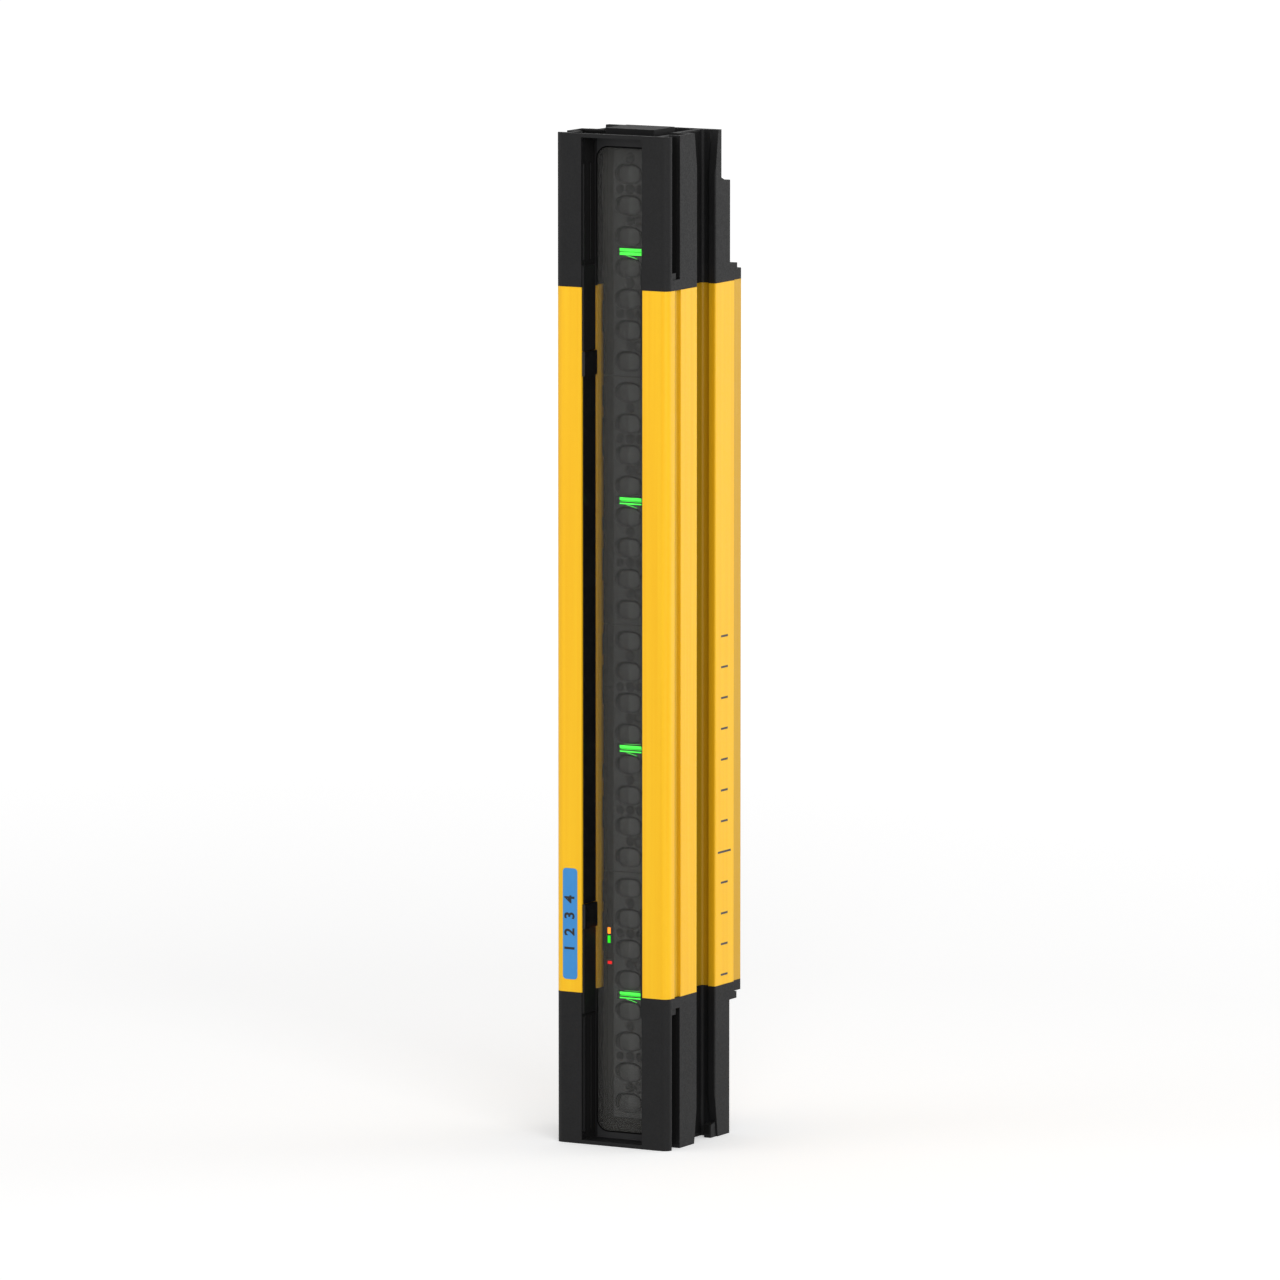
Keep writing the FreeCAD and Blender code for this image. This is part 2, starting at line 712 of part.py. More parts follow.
def make_module(number):
    """Carrier, lens strip, zone light, board and photodiodes of one module, counted from the bottom.
    The frame of each stands at the module's lowest lens."""
    count = "(lenses_each - 1)" if number == module_count else "lenses_each"
    height = f"lens_foot + {number - 1} * lenses_each * {lens_pitch}"
    foot = f"-({lens_pitch} - module_gap) / 2"
    head = f"({count} * {lens_pitch} - ({lens_pitch} + module_gap) / 2)"
    board_length = f"{count} * {lens_pitch} - module_gap"
    if number == module_count:
        head = f"({tube_head} + cap_height - cap_end_wall - module_gap - ({height}))"
    carrier_foot = "(cap_end_wall + module_gap - lens_foot)" if number == 1 else foot

    carrier = new_body(f"optic_carrier_{number}", height)
    name = carrier.Name
    flange_side = f"{cavity_half} - slide_clearance"
    flange_front = behind("cavity_front + slide_clearance")
    flange_rear = behind("cavity_front + slide_clearance + module_flange")
    section = new_sketch(carrier, name + "_section", offset=carrier_foot)
    draw_outline(section, mirrored([
        (module_half, behind("module_front")),
        (module_half, flange_front),
        (flange_side, flange_front),
        (flange_side, flange_rear),
        (f"{flange_side} - module_waist", flange_rear),
        (f"{flange_side} - module_waist", behind("module_rear")),
    ]))
    pad(carrier, section, f"{head} - {carrier_foot}")
    front_plane = f"-({behind('module_front')})"
    seat = new_sketch(carrier, name + "_strip_seat", "XZ_Plane", front_plane)
    seat_side = "strip_width / 2 + strip_clearance"
    seat_foot = f"{foot} - strip_clearance" if number == 1 else f"{foot} - {overshoot}"
    draw_box(seat, f"-({seat_side})", seat_side, seat_foot, f"{head} + {overshoot}")
    pocket(carrier, seat, "strip_thickness")
    slot = new_sketch(carrier, name + "_bar_slot", "XZ_Plane", front_plane)
    bar_box(slot, "strip_clearance")
    pocket(carrier, slot, "module_rear - module_front")
    if number == 1:
        lights = new_sketch(carrier, name + "_status_slots", "XZ_Plane", front_plane)
        side = f"({status_half} + strip_clearance)"
        for _, tall, place in status_lights():
            middle = f"{place} - lens_foot"
            rise = f"({tall} / 2 + strip_clearance)"
            draw_box(lights, f"{status_centre} - {side}", f"{status_centre} + {side}",
                     f"{middle} - {rise}", f"{middle} + {rise}")
        pocket(carrier, lights, "module_rear - module_front")
    channel = new_sketch(carrier, name + "_light_channel", "XZ_Plane", front_plane)
    reach = "channel_width / 2"
    draw_box(channel, f"-{reach}", reach, f"-{reach}", reach)
    first_channel = pocket(carrier, channel, "module_rear - module_front")
    repeat_up(carrier, [first_channel], lens_pitch, count)

    strip = new_body(f"lens_strip_{number}", height)
    name = strip.Name
    section = new_sketch(strip, name + "_section", offset=foot)
    strip_rear = behind("module_front + strip_thickness")
    draw_box(section, "-strip_width / 2", "strip_width / 2", behind("module_front"), strip_rear)
    pad(strip, section, f"{head} - {foot}")
    lens = new_sketch(strip, name + "_lens", "XZ_Plane", front_plane)
    draw_circle(lens, "0", "0", "lens_radius")
    first_lens = pad(strip, lens, "lens_rise")
    repeat_up(strip, [first_lens], lens_pitch, count)
    slot = new_sketch(strip, name + "_bar_slot", "XZ_Plane", front_plane)
    bar_box(slot, "strip_clearance / 2")
    pocket(strip, slot, "strip_thickness")

    bar = new_body(f"zone_light_{number}", height)
    name = bar.Name
    outline = new_sketch(bar, name + "_outline", "XZ_Plane", front_plane)
    bar_box(outline, "0")
    pad(bar, outline, "module_rear - module_front", reverse=True)
    groove = new_sketch(bar, name + "_groove", "XZ_Plane", front_plane)
    side = f"bar_width / 2 + {overshoot}"
    middle = f"bar_place * {lens_pitch}"
    draw_box(groove, f"-({side})", side, f"{middle} - bar_groove / 2", f"{middle} + bar_groove / 2")
    pocket(bar, groove, "bar_groove")

    board = new_body(f"receiver_board_{number}", height)
    section = new_sketch(board, board.Name + "_section", offset=foot)
    side = f"{cavity_half} - slide_clearance"
    draw_box(section, f"-({side})", side, behind("module_rear"), behind(board_rear))
    pad(board, section, board_length)

    diodes = new_body(f"photodiodes_{number}", height, several=True)
    sketch = new_sketch(diodes, diodes.Name + "_outline", "XZ_Plane", f"-({behind('module_rear')})")
    reach = "photodiode_size / 2"
    draw_box(sketch, f"-{reach}", reach, f"-{reach}", reach)
    chip = pad(diodes, sketch, "photodiode_thickness")
    repeat_up(diodes, [chip], lens_pitch, count)


def make_status_lights():
    """Light pipes from the lowest board to the face of its carrier."""
    for colour, tall, place in status_lights():
        body = new_body(f"status_light_{colour}", place)
        sketch = new_sketch(body, body.Name + "_outline", "XZ_Plane", f"-({behind('module_rear')})")
        left = f"{status_centre} - {status_half}"
        draw_box(sketch, left, f"{status_centre} + {status_half}", f"-{tall} / 2", f"{tall} / 2")
        pad(body, sketch, "module_rear - module_front")


def make_boards():
    """Links between the receiver boards, and the control board with its header, chips and lead."""
    for number in range(1, module_count):
        seam = f"lens_foot + ({number} * lenses_each - 1 / 2) * {lens_pitch}"
        link = new_body(f"board_link_{number}", f"{seam} - link_height / 2")
        sketch = new_sketch(link, link.Name + "_outline")
        link_rear = behind(f"{board_rear} + link_depth")
        draw_box(sketch, "-link_width / 2", "link_width / 2", behind(board_rear), link_rear)
        pad(link, sketch, "link_height")

    board = new_body("control_board", control_foot)
    sketch = new_sketch(board, "control_board_section")
    side = f"{cavity_half} - slide_clearance"
    control_rear = "control_front + board_thickness"
    draw_box(sketch, f"-({side})", side, behind("control_front"), behind(control_rear))
    pad(board, sketch, "control_length")
    chip = new_sketch(board, "control_chip", "XZ_Plane", f"-({behind(control_rear)})")
    draw_box(chip, "-chip_size / 2", "chip_size / 2", "chip_foot", "chip_foot + chip_size")
    chip_pad = pad(board, chip, "chip_thickness", reverse=True)
    repeat_up(board, [chip_pad], "chip_pitch", "chip_count")

    header = new_body("board_header", f"{control_foot} + header_rise")
    sketch = new_sketch(header, "board_header_outline")
    draw_box(sketch, "-header_width / 2", "header_width / 2", behind(board_rear), behind("control_front"))
    pad(header, sketch, "header_height")

    lead = new_body("connector_lead", "socket_length")
    sketch = new_sketch(lead, "connector_lead_section")
    draw_box(sketch, "-lead_width / 2", "lead_width / 2", behind("control_front"),
             behind("control_front + lead_thickness"))
    pad(lead, sketch, f"{control_foot} - socket_length")


def make_ports():
    """Cover of the upper port, and the socket with its pins in the lower end."""
    cover = new_body("top_port_cover", f"{tube_head} + cap_height - end_pocket_depth")
    sketch = new_sketch(cover, "top_port_cover_outline")
    draw_box(sketch, "-cover_width / 2", "cover_width / 2", behind("cover_front"),
             behind("cover_front + cover_depth"))
    pad(cover, sketch, "end_pocket_depth + cover_stand")
    corners = [("cover_width / 2", behind("cover_front"))]
    corners += [("cover_width / 2", behind("cover_front + cover_depth"))]
    round_edges(cover, "top_port_cover_corners", "cover_edge", upright, both_sides(corners))

    # The socket's frame stands at its inner end and its mouth points down.
    shell = new_body("connector_socket", "socket_length", turned=True)
    outer = new_sketch(shell, "connector_socket_outline")
    side = "socket_width / 2"
    draw_box(outer, f"-{side}", side, behind(socket_front), behind(f"{socket_front} + {socket_depth}"))
    pad(shell, outer, "socket_length - socket_inset")
    inner = new_sketch(shell, "connector_socket_room", offset="socket_floor")
    inner_side = "socket_width / 2 - socket_wall"
    inner_front = f"{socket_front} + socket_wall"
    inner_rear = f"{socket_front} + {socket_depth} - socket_wall"
    draw_outline(inner, [
        (f"-({inner_side})", behind(inner_front)),
        ("-key_width / 2", behind(inner_front)),
        ("-key_width / 2", behind(f"{inner_front} + key_height")),
        ("key_width / 2", behind(f"{inner_front} + key_height")),
        ("key_width / 2", behind(inner_front)),
        (inner_side, behind(inner_front)),
        (inner_side, behind(inner_rear)),
        (f"-({inner_side})", behind(inner_rear)),
    ])
    pocket(shell, inner, "socket_length", reverse=True)

    pins = new_body("connector_pins", "socket_length - socket_floor", turned=True, several=True)
    sketch = new_sketch(pins, "connector_pins_outline")
    middle = f"{socket_front} + ({socket_depth} + key_height) / 2"
    reach = "pin_side / 2"
    for row in (-0.5, 0.5):
        for column in (-1.5, -0.5, 0.5, 1.5):
            left = f"{column} * pin_pitch - {reach}"
            low = behind(f"{middle} + {row} * {pin_row_pitch} - {reach}")
            draw_box(sketch, left, f"{left} + pin_side", low, f"{low} + pin_side")
    pad(pins, sketch, "pin_length")


def make_screws(label, at_top):
    """Two self-tapping screws on the ledge of one cap, with sockets for a hexagon key."""
    body = new_body(label, tube_head if at_top else tube_foot, turned=not at_top, several=True)
    across, along = screw_place
    shank = new_sketch(body, label + "_shank", offset="plate_thickness")
    draw_circle(shank, across, along, "screw_diameter / 2")
    shank_pad = pad(body, shank, "plate_thickness + screw_reach", reverse=True)
    head = new_sketch(body, label + "_head", offset="plate_thickness")
    draw_circle(head, across, along, "screw_head_diameter / 2")
    head_pad = pad(body, head, "screw_head_height")
    socket = new_sketch(body, label + "_socket", offset="plate_thickness + screw_head_height")
    draw_hexagon(socket, across, along, "screw_socket_diameter / 2")
    socket_pocket = pocket(body, socket, "screw_socket_depth")
    mirror_across(body, [shank_pad, head_pad, socket_pocket])


def make_label():
    """Plain blue plate on the front of the left flange."""
    body = new_body("zone_label", "cap_height + label_rise")
    sketch = new_sketch(body, "zone_label_outline", "XZ_Plane", f"-({behind('0')})")
    left = "-(body_width / 2 - label_inset)"
    right = f"{left} + label_width"
    draw_box(sketch, left, right, "0", "label_length")
    pad(body, sketch, "label_thickness")
    corners = [(left, "0"), (left, "label_length"), (right, "0"), (right, "label_length")]
    round_edges(body, "zone_label_corners", "label_radius", inward, corners)


make_housing()
make_cap("top_end_cap", True)
make_cap("bottom_end_cap", False)
make_gasket("top_gasket", True)
make_gasket("bottom_gasket", False)
make_window()
make_seals()
for number in range(1, module_count + 1):
    make_module(number)
make_status_lights()
make_boards()
make_ports()
make_screws("top_cap_screws", True)
make_screws("bottom_cap_screws", False)
make_label()

doc.recompute()
failed = [item.Name for item in doc.Objects if {"Invalid", "Error"} & set(item.State)]
if failed:
    raise RuntimeError(f"failed objects: {failed}")
bodies = [item for item in doc.Objects if item.TypeId == "PartDesign::Body"]
for body in bodies:
    if body.Shape.isNull() or not body.Shape.isValid():
        raise RuntimeError(f"{body.Label} has no valid shape")
os.makedirs("parts", exist_ok=True)
for body in bodies:
    body.Shape.exportStep(f"parts/{body.Label}.step")
print(len(bodies), "nodes written")
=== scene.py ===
import json
import math

import bpy
import numpy as np
from mathutils import Matrix, Vector


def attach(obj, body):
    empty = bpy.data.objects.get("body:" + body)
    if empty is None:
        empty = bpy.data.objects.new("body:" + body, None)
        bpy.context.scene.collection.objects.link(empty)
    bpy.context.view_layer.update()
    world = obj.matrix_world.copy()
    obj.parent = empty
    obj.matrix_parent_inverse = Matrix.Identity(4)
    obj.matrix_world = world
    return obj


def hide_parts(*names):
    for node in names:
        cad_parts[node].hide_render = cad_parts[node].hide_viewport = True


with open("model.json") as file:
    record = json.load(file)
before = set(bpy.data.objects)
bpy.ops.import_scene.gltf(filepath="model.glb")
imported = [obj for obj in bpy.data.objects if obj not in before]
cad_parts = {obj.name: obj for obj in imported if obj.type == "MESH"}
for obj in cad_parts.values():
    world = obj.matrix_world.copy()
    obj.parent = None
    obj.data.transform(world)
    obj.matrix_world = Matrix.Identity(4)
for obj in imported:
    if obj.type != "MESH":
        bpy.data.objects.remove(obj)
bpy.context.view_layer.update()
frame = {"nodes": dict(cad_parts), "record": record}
nodes = frame["nodes"]
mm = 0.001  # in metres: sizes and places below are in millimetres, apart from the studio's
print("frame loaded:", len(nodes), "nodes")

# Sizes that several pieces share.
depth = 45.2  # of the whole body, front to back
sideFace = 18.0  # from the middle plane
carrierFace = 10.4  # behind the front, level with the lens strips
lensPitch = 8.75
lowestLens = 10.85
lensesEach = 8  # in a module, and one fewer in the top one
moduleCount = 4
modulePitch = lensPitch * lensesEach

# The sockets of a Mix node that blends colours have the same names as its others, so they go by number.
mixFactor = 0
mixFirst = 6
mixSecond = 7
mixResult = 2

# Most of a noise's values lie between these.
noiseLow = 0.35
noiseHigh = 0.65
grainDetail = 3.0  # layers of a grain's noise, each finer than the last
edgeSamples = 4  # rays that find how a rounded edge faces


def toLinear(code):
    # an sRGB hex colour as linear RGBA, by the standard's own curve: a straight foot, then a power
    parts = [int(code[i:i + 2], 16) / 255 for i in (1, 3, 5)]
    return tuple(p / 12.92 if p <= 0.04045 else ((p + 0.055) / 1.055) ** 2.4 for p in parts) + (1.0,)


def addNode(tree, kind, settings=None, inputs=None):
    # one node with its settings; an input is a plain value, another node, whose first output feeds it, or a
    # node and the name or number of its output
    node = tree.nodes.new(kind)
    for name, value in (settings or {}).items():
        setattr(node, name, value)
    for name, value in (inputs or {}).items():
        if isinstance(value, bpy.types.Node):
            value = (value, 0)
        if isinstance(value, tuple) and isinstance(value[0], bpy.types.Node):
            source, output = value
            tree.links.new(source.outputs[output], node.inputs[name])
        else:
            node.inputs[name].default_value = value
    return node


def newMaterial(name):
    # an empty material, with its output and its object coordinates
    material = bpy.data.materials.new(name)
    material.use_nodes = True
    tree = material.node_tree
    tree.nodes.clear()
    output = addNode(tree, "ShaderNodeOutputMaterial")
    place = addNode(tree, "ShaderNodeTexCoord")
    return material, tree, output, place


def noiseAt(tree, place, size, detail=2.0, stretch=(1, 1, 1)):
    # noise whose grains are this many millimetres across, drawn out along an axis by stretch
    scale = tuple(1 / (size * mm * s) for s in stretch)
    mapped = addNode(tree, "ShaderNodeMapping", inputs={"Scale": scale, "Vector": (place, "Object")})
    return addNode(tree, "ShaderNodeTexNoise", inputs={"Scale": 1.0, "Detail": detail, "Vector": mapped})


def grainedPlastic(name, settings):
    # a moulded or coated surface: two close tones in soft patches, a fine grain that lifts the surface and
    # makes its gloss uneven
    material, tree, output, place = newMaterial(name)
    patches = noiseAt(tree, place, settings["patchSize"], stretch=(1, 1, settings.get("streak", 1)))
    grain = noiseAt(tree, place, settings["grainSize"], grainDetail)
    share = addNode(tree, "ShaderNodeMapRange",
                    inputs={"Value": patches, "From Min": noiseLow, "From Max": noiseHigh})
    colour = addNode(tree, "ShaderNodeMix", {"data_type": "RGBA"},
                     {mixFactor: share, mixFirst: toLinear(settings["colour"]),
                      mixSecond: toLinear(settings["secondColour"])})
    rough = addNode(tree, "ShaderNodeMapRange",
                    inputs={"Value": grain, "From Min": noiseLow, "From Max": noiseHigh,
                            "To Min": settings["roughness"] - settings["roughSpread"],
                            "To Max": settings["roughness"] + settings["roughSpread"]})
    bump = addNode(tree, "ShaderNodeBump",
                   inputs={"Strength": settings["bump"], "Distance": settings["lift"] * mm, "Height": grain})
    if "edgeRadius" in settings:
        rounded = addNode(tree, "ShaderNodeBevel", {"samples": edgeSamples},
                          {"Radius": settings["edgeRadius"] * mm})
        tree.links.new(rounded.outputs["Normal"], bump.inputs["Normal"])
    shader = addNode(tree, "ShaderNodeBsdfPrincipled",
                     inputs={"IOR": settings["ior"], "Specular IOR Level": settings["specular"],
                             "Base Color": (colour, mixResult), "Roughness": rough, "Normal": bump})
    tree.links.new(shader.outputs["BSDF"], output.inputs["Surface"])
    return material, tree, shader, place


def layOver(tree, shader, amount, code):
    # a hex colour laid over what the shader has so far, as far as an amount from 0 to 1 says
    under = shader.inputs["Base Color"].links[0].from_node
    over = addNode(tree, "ShaderNodeMix", {"data_type": "RGBA"},
                   {mixFactor: amount, mixFirst: (under, mixResult), mixSecond: toLinear(code)})
    tree.links.new(over.outputs[mixResult], shader.inputs["Base Color"])


def placesOf(tree, place):
    # the place on the body in millimetres: x from the middle plane, y behind the front face and z up, and
    # with them x without its sign
    mapped = addNode(tree, "ShaderNodeMapping",
                     inputs={"Vector": (place, "Object"), "Scale": (1 / mm, 1 / mm, 1 / mm),
                             "Location": (0, depth / 2, 0)})
    axes = addNode(tree, "ShaderNodeSeparateXYZ", inputs={"Vector": mapped})
    across = addNode(tree, "ShaderNodeMath", {"operation": "ABSOLUTE"}, {0: (axes, "X")})
    return axes, across


def maskOf(tree, *bands):
    # 1 where each value lies above its low bound and below its high one, 0 elsewhere; None is no bound
    mask = None
    for value, low, high in bands:
        for operation, bound in (("GREATER_THAN", low), ("LESS_THAN", high)):
            if bound is None:
                continue
            test = addNode(tree, "ShaderNodeMath", {"operation": operation}, {0: value, 1: bound})
            if mask:
                test = addNode(tree, "ShaderNodeMath", {"operation": "MULTIPLY"}, {0: mask, 1: test})
            mask = test
    return mask


# Powder coat on extruded aluminium: cured polyester, an even satin yellow with faint orange peel.
powderCoat = {
    "colour": "#FBBE10", "secondColour": "#FEC619",
    "patchSize": 1.4, "streak": 80,  # faint lines left by the extrusion die
    "grainSize": 0.7,  # orange peel is 0.3 to 1 mm across
    "roughness": 0.42, "roughSpread": 0.05, "bump": 0.12, "lift": 0.05, "ior": 1.5, "specular": 0.3,
    "edgeRadius": 0.3,
    # painted shade: the coat's colour is darkened in the grooves of the sides, where shade falls
    "grooveShadeColour": "#3E3406", "grooveShade": 0.66, "groovePower": 0.36,
    "grooveFloor": 13.0, "innerWall": 12.0, "frontEdge": 2.2, "rearEdge": 44.9,
}

# Printed scale on the side face: one short tick a lens, a long one each zone.
printedScale = {
    "ink": "#2F2F33", "low": 45.4, "high": 142.6, "middle": 33.0, "reach": 2.0, "longReach": 3.8,
    "thickness": 0.6, "skin": 0.1,  # how far under the side face the surface still counts as the face
}


def makeHousingFinish():
    # painted shade: the coat's colour is darker the deeper a groove lies, as a power of its share of the full
    # depth
    material, tree, shader, place = grainedPlastic("powderCoatedAluminium", powderCoat)
    s = powderCoat
    axes, across = placesOf(tree, place)
    sunk = addNode(tree, "ShaderNodeMapRange",
                   inputs={"Value": across, "From Min": sideFace, "From Max": s["grooveFloor"]})
    curved = addNode(tree, "ShaderNodeMath", {"operation": "POWER"}, {0: sunk, 1: s["groovePower"]})
    shade = addNode(tree, "ShaderNodeMath", {"operation": "MULTIPLY"}, {0: curved, 1: s["grooveShade"]})
    onSide = maskOf(tree, ((axes, "Y"), s["frontEdge"], s["rearEdge"]), (across, s["innerWall"], None))
    amount = addNode(tree, "ShaderNodeMath", {"operation": "MULTIPLY"}, {0: shade, 1: onSide})
    layOver(tree, shader, amount, s["grooveShadeColour"])
    printScale(tree, shader, axes, across)
    return material


def printScale(tree, shader, axes, across):
    # the height in lens pitches: its whole part numbers the ticks, its fraction is small on a tick, and the
    # tick whose number is a multiple of a module's lenses reaches further to each side
    s = printedScale
    start = lowestLens - s["thickness"] / 2
    along = addNode(tree, "ShaderNodeMapRange", {"clamp": False},
                    {"Value": (axes, "Z"), "From Min": start, "From Max": start + lensPitch})
    fraction = addNode(tree, "ShaderNodeMath", {"operation": "FRACT"}, {0: along})
    number = addNode(tree, "ShaderNodeMath", {"operation": "FLOOR"}, {0: along})
    inModule = addNode(tree, "ShaderNodeMath", {"operation": "MODULO"}, {0: number, 1: lensesEach})
    reach = addNode(tree, "ShaderNodeMapRange",
                    inputs={"Value": inModule, "To Min": s["longReach"], "To Max": s["reach"]})
    aside = addNode(tree, "ShaderNodeMath", {"operation": "SUBTRACT"}, {0: (axes, "Y"), 1: s["middle"]})
    offMiddle = addNode(tree, "ShaderNodeMath", {"operation": "ABSOLUTE"}, {0: aside})
    ink = maskOf(tree, (fraction, None, s["thickness"] / lensPitch), (offMiddle, None, reach),
                 ((axes, "Z"), s["low"], s["high"]), (across, sideFace - s["skin"], None))
    layOver(tree, shader, ink, s["ink"])


# Glass-filled polyamide caps: matt black with a fine spark-eroded mould grain.
capPlastic = {
    "colour": "#0A0A0B", "secondColour": "#0E0E0F", "patchSize": 9.0, "grainSize": 0.35,
    "roughness": 0.62, "roughSpread": 0.07, "bump": 0.2, "lift": 0.04, "ior": 1.53, "specular": 0.22,
    "edgeRadius": 0.3,
    # painted shade: the side slots and the walls of the front recess are painted deep black, deeper with the
    # slot's depth
    "slotShadeColour": "#020202", "slotShade": 1.0, "slotFloor": 16.8, "innerWall": 9.3,
    "slotFront": 2.2, "slotRear": 27.0, "foot": 1.0, "head": 284.5,
    # painted light: the frame round the window is painted lighter, as if it stood in full light
    "frameLightColour": "#2C2C2D", "frameFront": 6.6, "frameRear": 7.6, "frameHalf": 8.5,
}
# Extruded PVC lining strips: smoother and glossier than the caps.
liningPlastic = {
    "colour": "#070708", "secondColour": "#0B0B0C", "patchSize": 6.0, "grainSize": 2.0,
    "roughness": 0.2, "roughSpread": 0.03, "bump": 0.02, "lift": 0.02, "ior": 1.5, "specular": 0.3,
}
# Cellular rubber gaskets: dull and faintly pitted.
gasketRubber = {
    "colour": "#161616", "secondColour": "#1E1E1E", "patchSize": 2.0, "grainSize": 0.3,
    "roughness": 0.85, "roughSpread": 0.08, "bump": 0.5, "lift": 0.06, "ior": 1.52, "specular": 0.3,
}
# Moulded ABS carriers behind the window: mid grey so that they read through the tint.
carrierPlastic = {
    "colour": "#33322F", "secondColour": "#373633", "patchSize": 12.0, "grainSize": 0.4,
    "roughness": 0.5, "roughSpread": 0.06, "bump": 0.2, "lift": 0.03, "ior": 1.52, "specular": 0.15,
}
# Infrared-pass polycarbonate lens strips: smooth, with painted shade in the pockets.
lensPlastic = {
    "colour": "#4B4B4A", "secondColour": "#4F4F4E", "patchSize": 10.0, "grainSize": 1.5,
    "roughness": 0.2, "roughSpread": 0.04, "bump": 0.04, "lift": 0.02, "ior": 1.58, "specular": 0.1,
    # painted shade and light: the plate's colour goes towards the first of these in its hollows and towards
    # the second on its lenses
    "hollowShadeColour": "#060606", "lensLightColour": "#6A6A69",
}
# Glass epoxy boards: green solder resist over a woven core.
boardResist = {
    "colour": "#14502B", "secondColour": "#1A5C33", "patchSize": 1.2, "grainSize": 0.5,
    "roughness": 0.35, "roughSpread": 0.06, "bump": 0.15, "lift": 0.03, "ior": 1.5, "specular": 0.5,
}
# Epoxy packages of the photodiodes and chips.
packageEpoxy = {
    "colour": "#1B1A1F", "secondColour": "#232228", "patchSize": 1.5, "grainSize": 0.2,
    "roughness": 0.4, "roughSpread": 0.06, "bump": 0.1, "lift": 0.01, "ior": 1.55, "specular": 0.5,
}
# Connector housing: moulded PBT.
connectorPlastic = {
    "colour": "#18181A", "secondColour": "#1F1F21", "patchSize": 4.0, "grainSize": 0.4,
    "roughness": 0.45, "roughSpread": 0.06, "bump": 0.15, "lift": 0.03, "ior": 1.54, "specular": 0.4,
}
# Port cover: the same polyamide as the caps, from a smoother mould.
coverPlastic = {
    "colour": "#0A0A0B", "secondColour": "#0D0D0E", "patchSize": 5.0, "grainSize": 0.45,
    "roughness": 0.6, "roughSpread": 0.06, "bump": 0.15, "lift": 0.03, "ior": 1.53, "specular": 0.15,
    "edgeRadius": 0.25,
}
# Flat lead: grey PVC ribbon.
ribbonPlastic = {
    "colour": "#8A8C90", "secondColour": "#94969A", "patchSize": 1.3, "grainSize": 0.6,
    "roughness": 0.5, "roughSpread": 0.05, "bump": 0.2, "lift": 0.05, "ior": 1.52, "specular": 0.5,
}


def makeCapFinish():
    # painted shade and light: the cap's black is painted deeper with the depth of the side slots, and the
    # frame round the window is painted lighter
    material, tree, shader, place = grainedPlastic("glassFilledPolyamide", capPlastic)
    s = capPlastic
    axes, across = placesOf(tree, place)
    sunk = addNode(tree, "ShaderNodeMapRange",
                   inputs={"Value": across, "From Min": sideFace, "From Max": s["slotFloor"],
                           "To Max": s["slotShade"]})
    inSlot = maskOf(tree, ((axes, "Y"), s["slotFront"], s["slotRear"]), ((axes, "Z"), s["foot"], s["head"]),
                    (across, s["innerWall"], None))
    amount = addNode(tree, "ShaderNodeMath", {"operation": "MULTIPLY"}, {0: sunk, 1: inSlot})
    layOver(tree, shader, amount, s["slotShadeColour"])
    onFrame = maskOf(tree, ((axes, "Y"), s["frameFront"], s["frameRear"]), (across, None, s["frameHalf"]))
    layOver(tree, shader, onFrame, s["frameLightColour"])
    grained = shader.inputs["Roughness"].links[0].from_node
    dull = addNode(tree, "ShaderNodeMath", {"operation": "MAXIMUM"}, {0: grained, 1: amount})
    tree.links.new(dull.outputs["Value"], shader.inputs["Roughness"])
    return material


def makeLensFinish():
    # the plate carries its own tone of painted light and shade: below 0, painted shade, in the hollows, above
    # 0, painted light, on the lenses
    material, tree, shader, place = grainedPlastic("lensPolycarbonate", lensPlastic)
    tone = addNode(tree, "ShaderNodeAttribute", {"attribute_name": "tone"})
    for end, code in ((-1.0, lensPlastic["hollowShadeColour"]), (1.0, lensPlastic["lensLightColour"])):
        amount = addNode(tree, "ShaderNodeMapRange", inputs={"Value": (tone, "Fac"), "From Max": end})
        layOver(tree, shader, amount, code)
    return material


# Plated metals: the gold flash of contacts and the zinc of screws, both with fine drawn scratches.
contactGold = {"colour": "#D9B65A", "roughness": 0.28, "scratchSize": 0.15}
screwZinc = {"colour": "#B4B6B8", "roughness": 0.32, "scratchSize": 0.2}
drawnScratches = {"stretch": 12, "detail": 4.0, "smoother": 0.08, "duller": 0.1, "bump": 0.15, "lift": 0.02}


def makeMetal(name, settings):
    # bright metal whose scratches change its gloss
    material, tree, output, place = newMaterial(name)
    s = drawnScratches
    scratches = noiseAt(tree, place, settings["scratchSize"], s["detail"], (1, 1, s["stretch"]))
    rough = addNode(tree, "ShaderNodeMapRange",
                    inputs={"Value": scratches, "From Min": noiseLow, "From Max": noiseHigh,
                            "To Min": settings["roughness"] - s["smoother"],
                            "To Max": settings["roughness"] + s["duller"]})
    bump = addNode(tree, "ShaderNodeBump",
                   inputs={"Strength": s["bump"], "Distance": s["lift"] * mm, "Height": scratches})
    shader = addNode(tree, "ShaderNodeBsdfPrincipled",
                     inputs={"Base Color": toLinear(settings["colour"]), "Metallic": 1.0, "Roughness": rough,
                             "Normal": bump})
    tree.links.new(shader.outputs["BSDF"], output.inputs["Surface"])
    return material


# Smoke-tinted cast acrylic: two faces of this alpha let about two fifths of the light in and out again.
smokeAcrylic = {
    "colour": "#626260", "alpha": 0.2, "roughness": 0.03, "ior": 1.49, "specular": 0.1,
    "waveSize": 30.0, "waveDetail": 1.0, "bump": 0.04, "lift": 0.05,
}


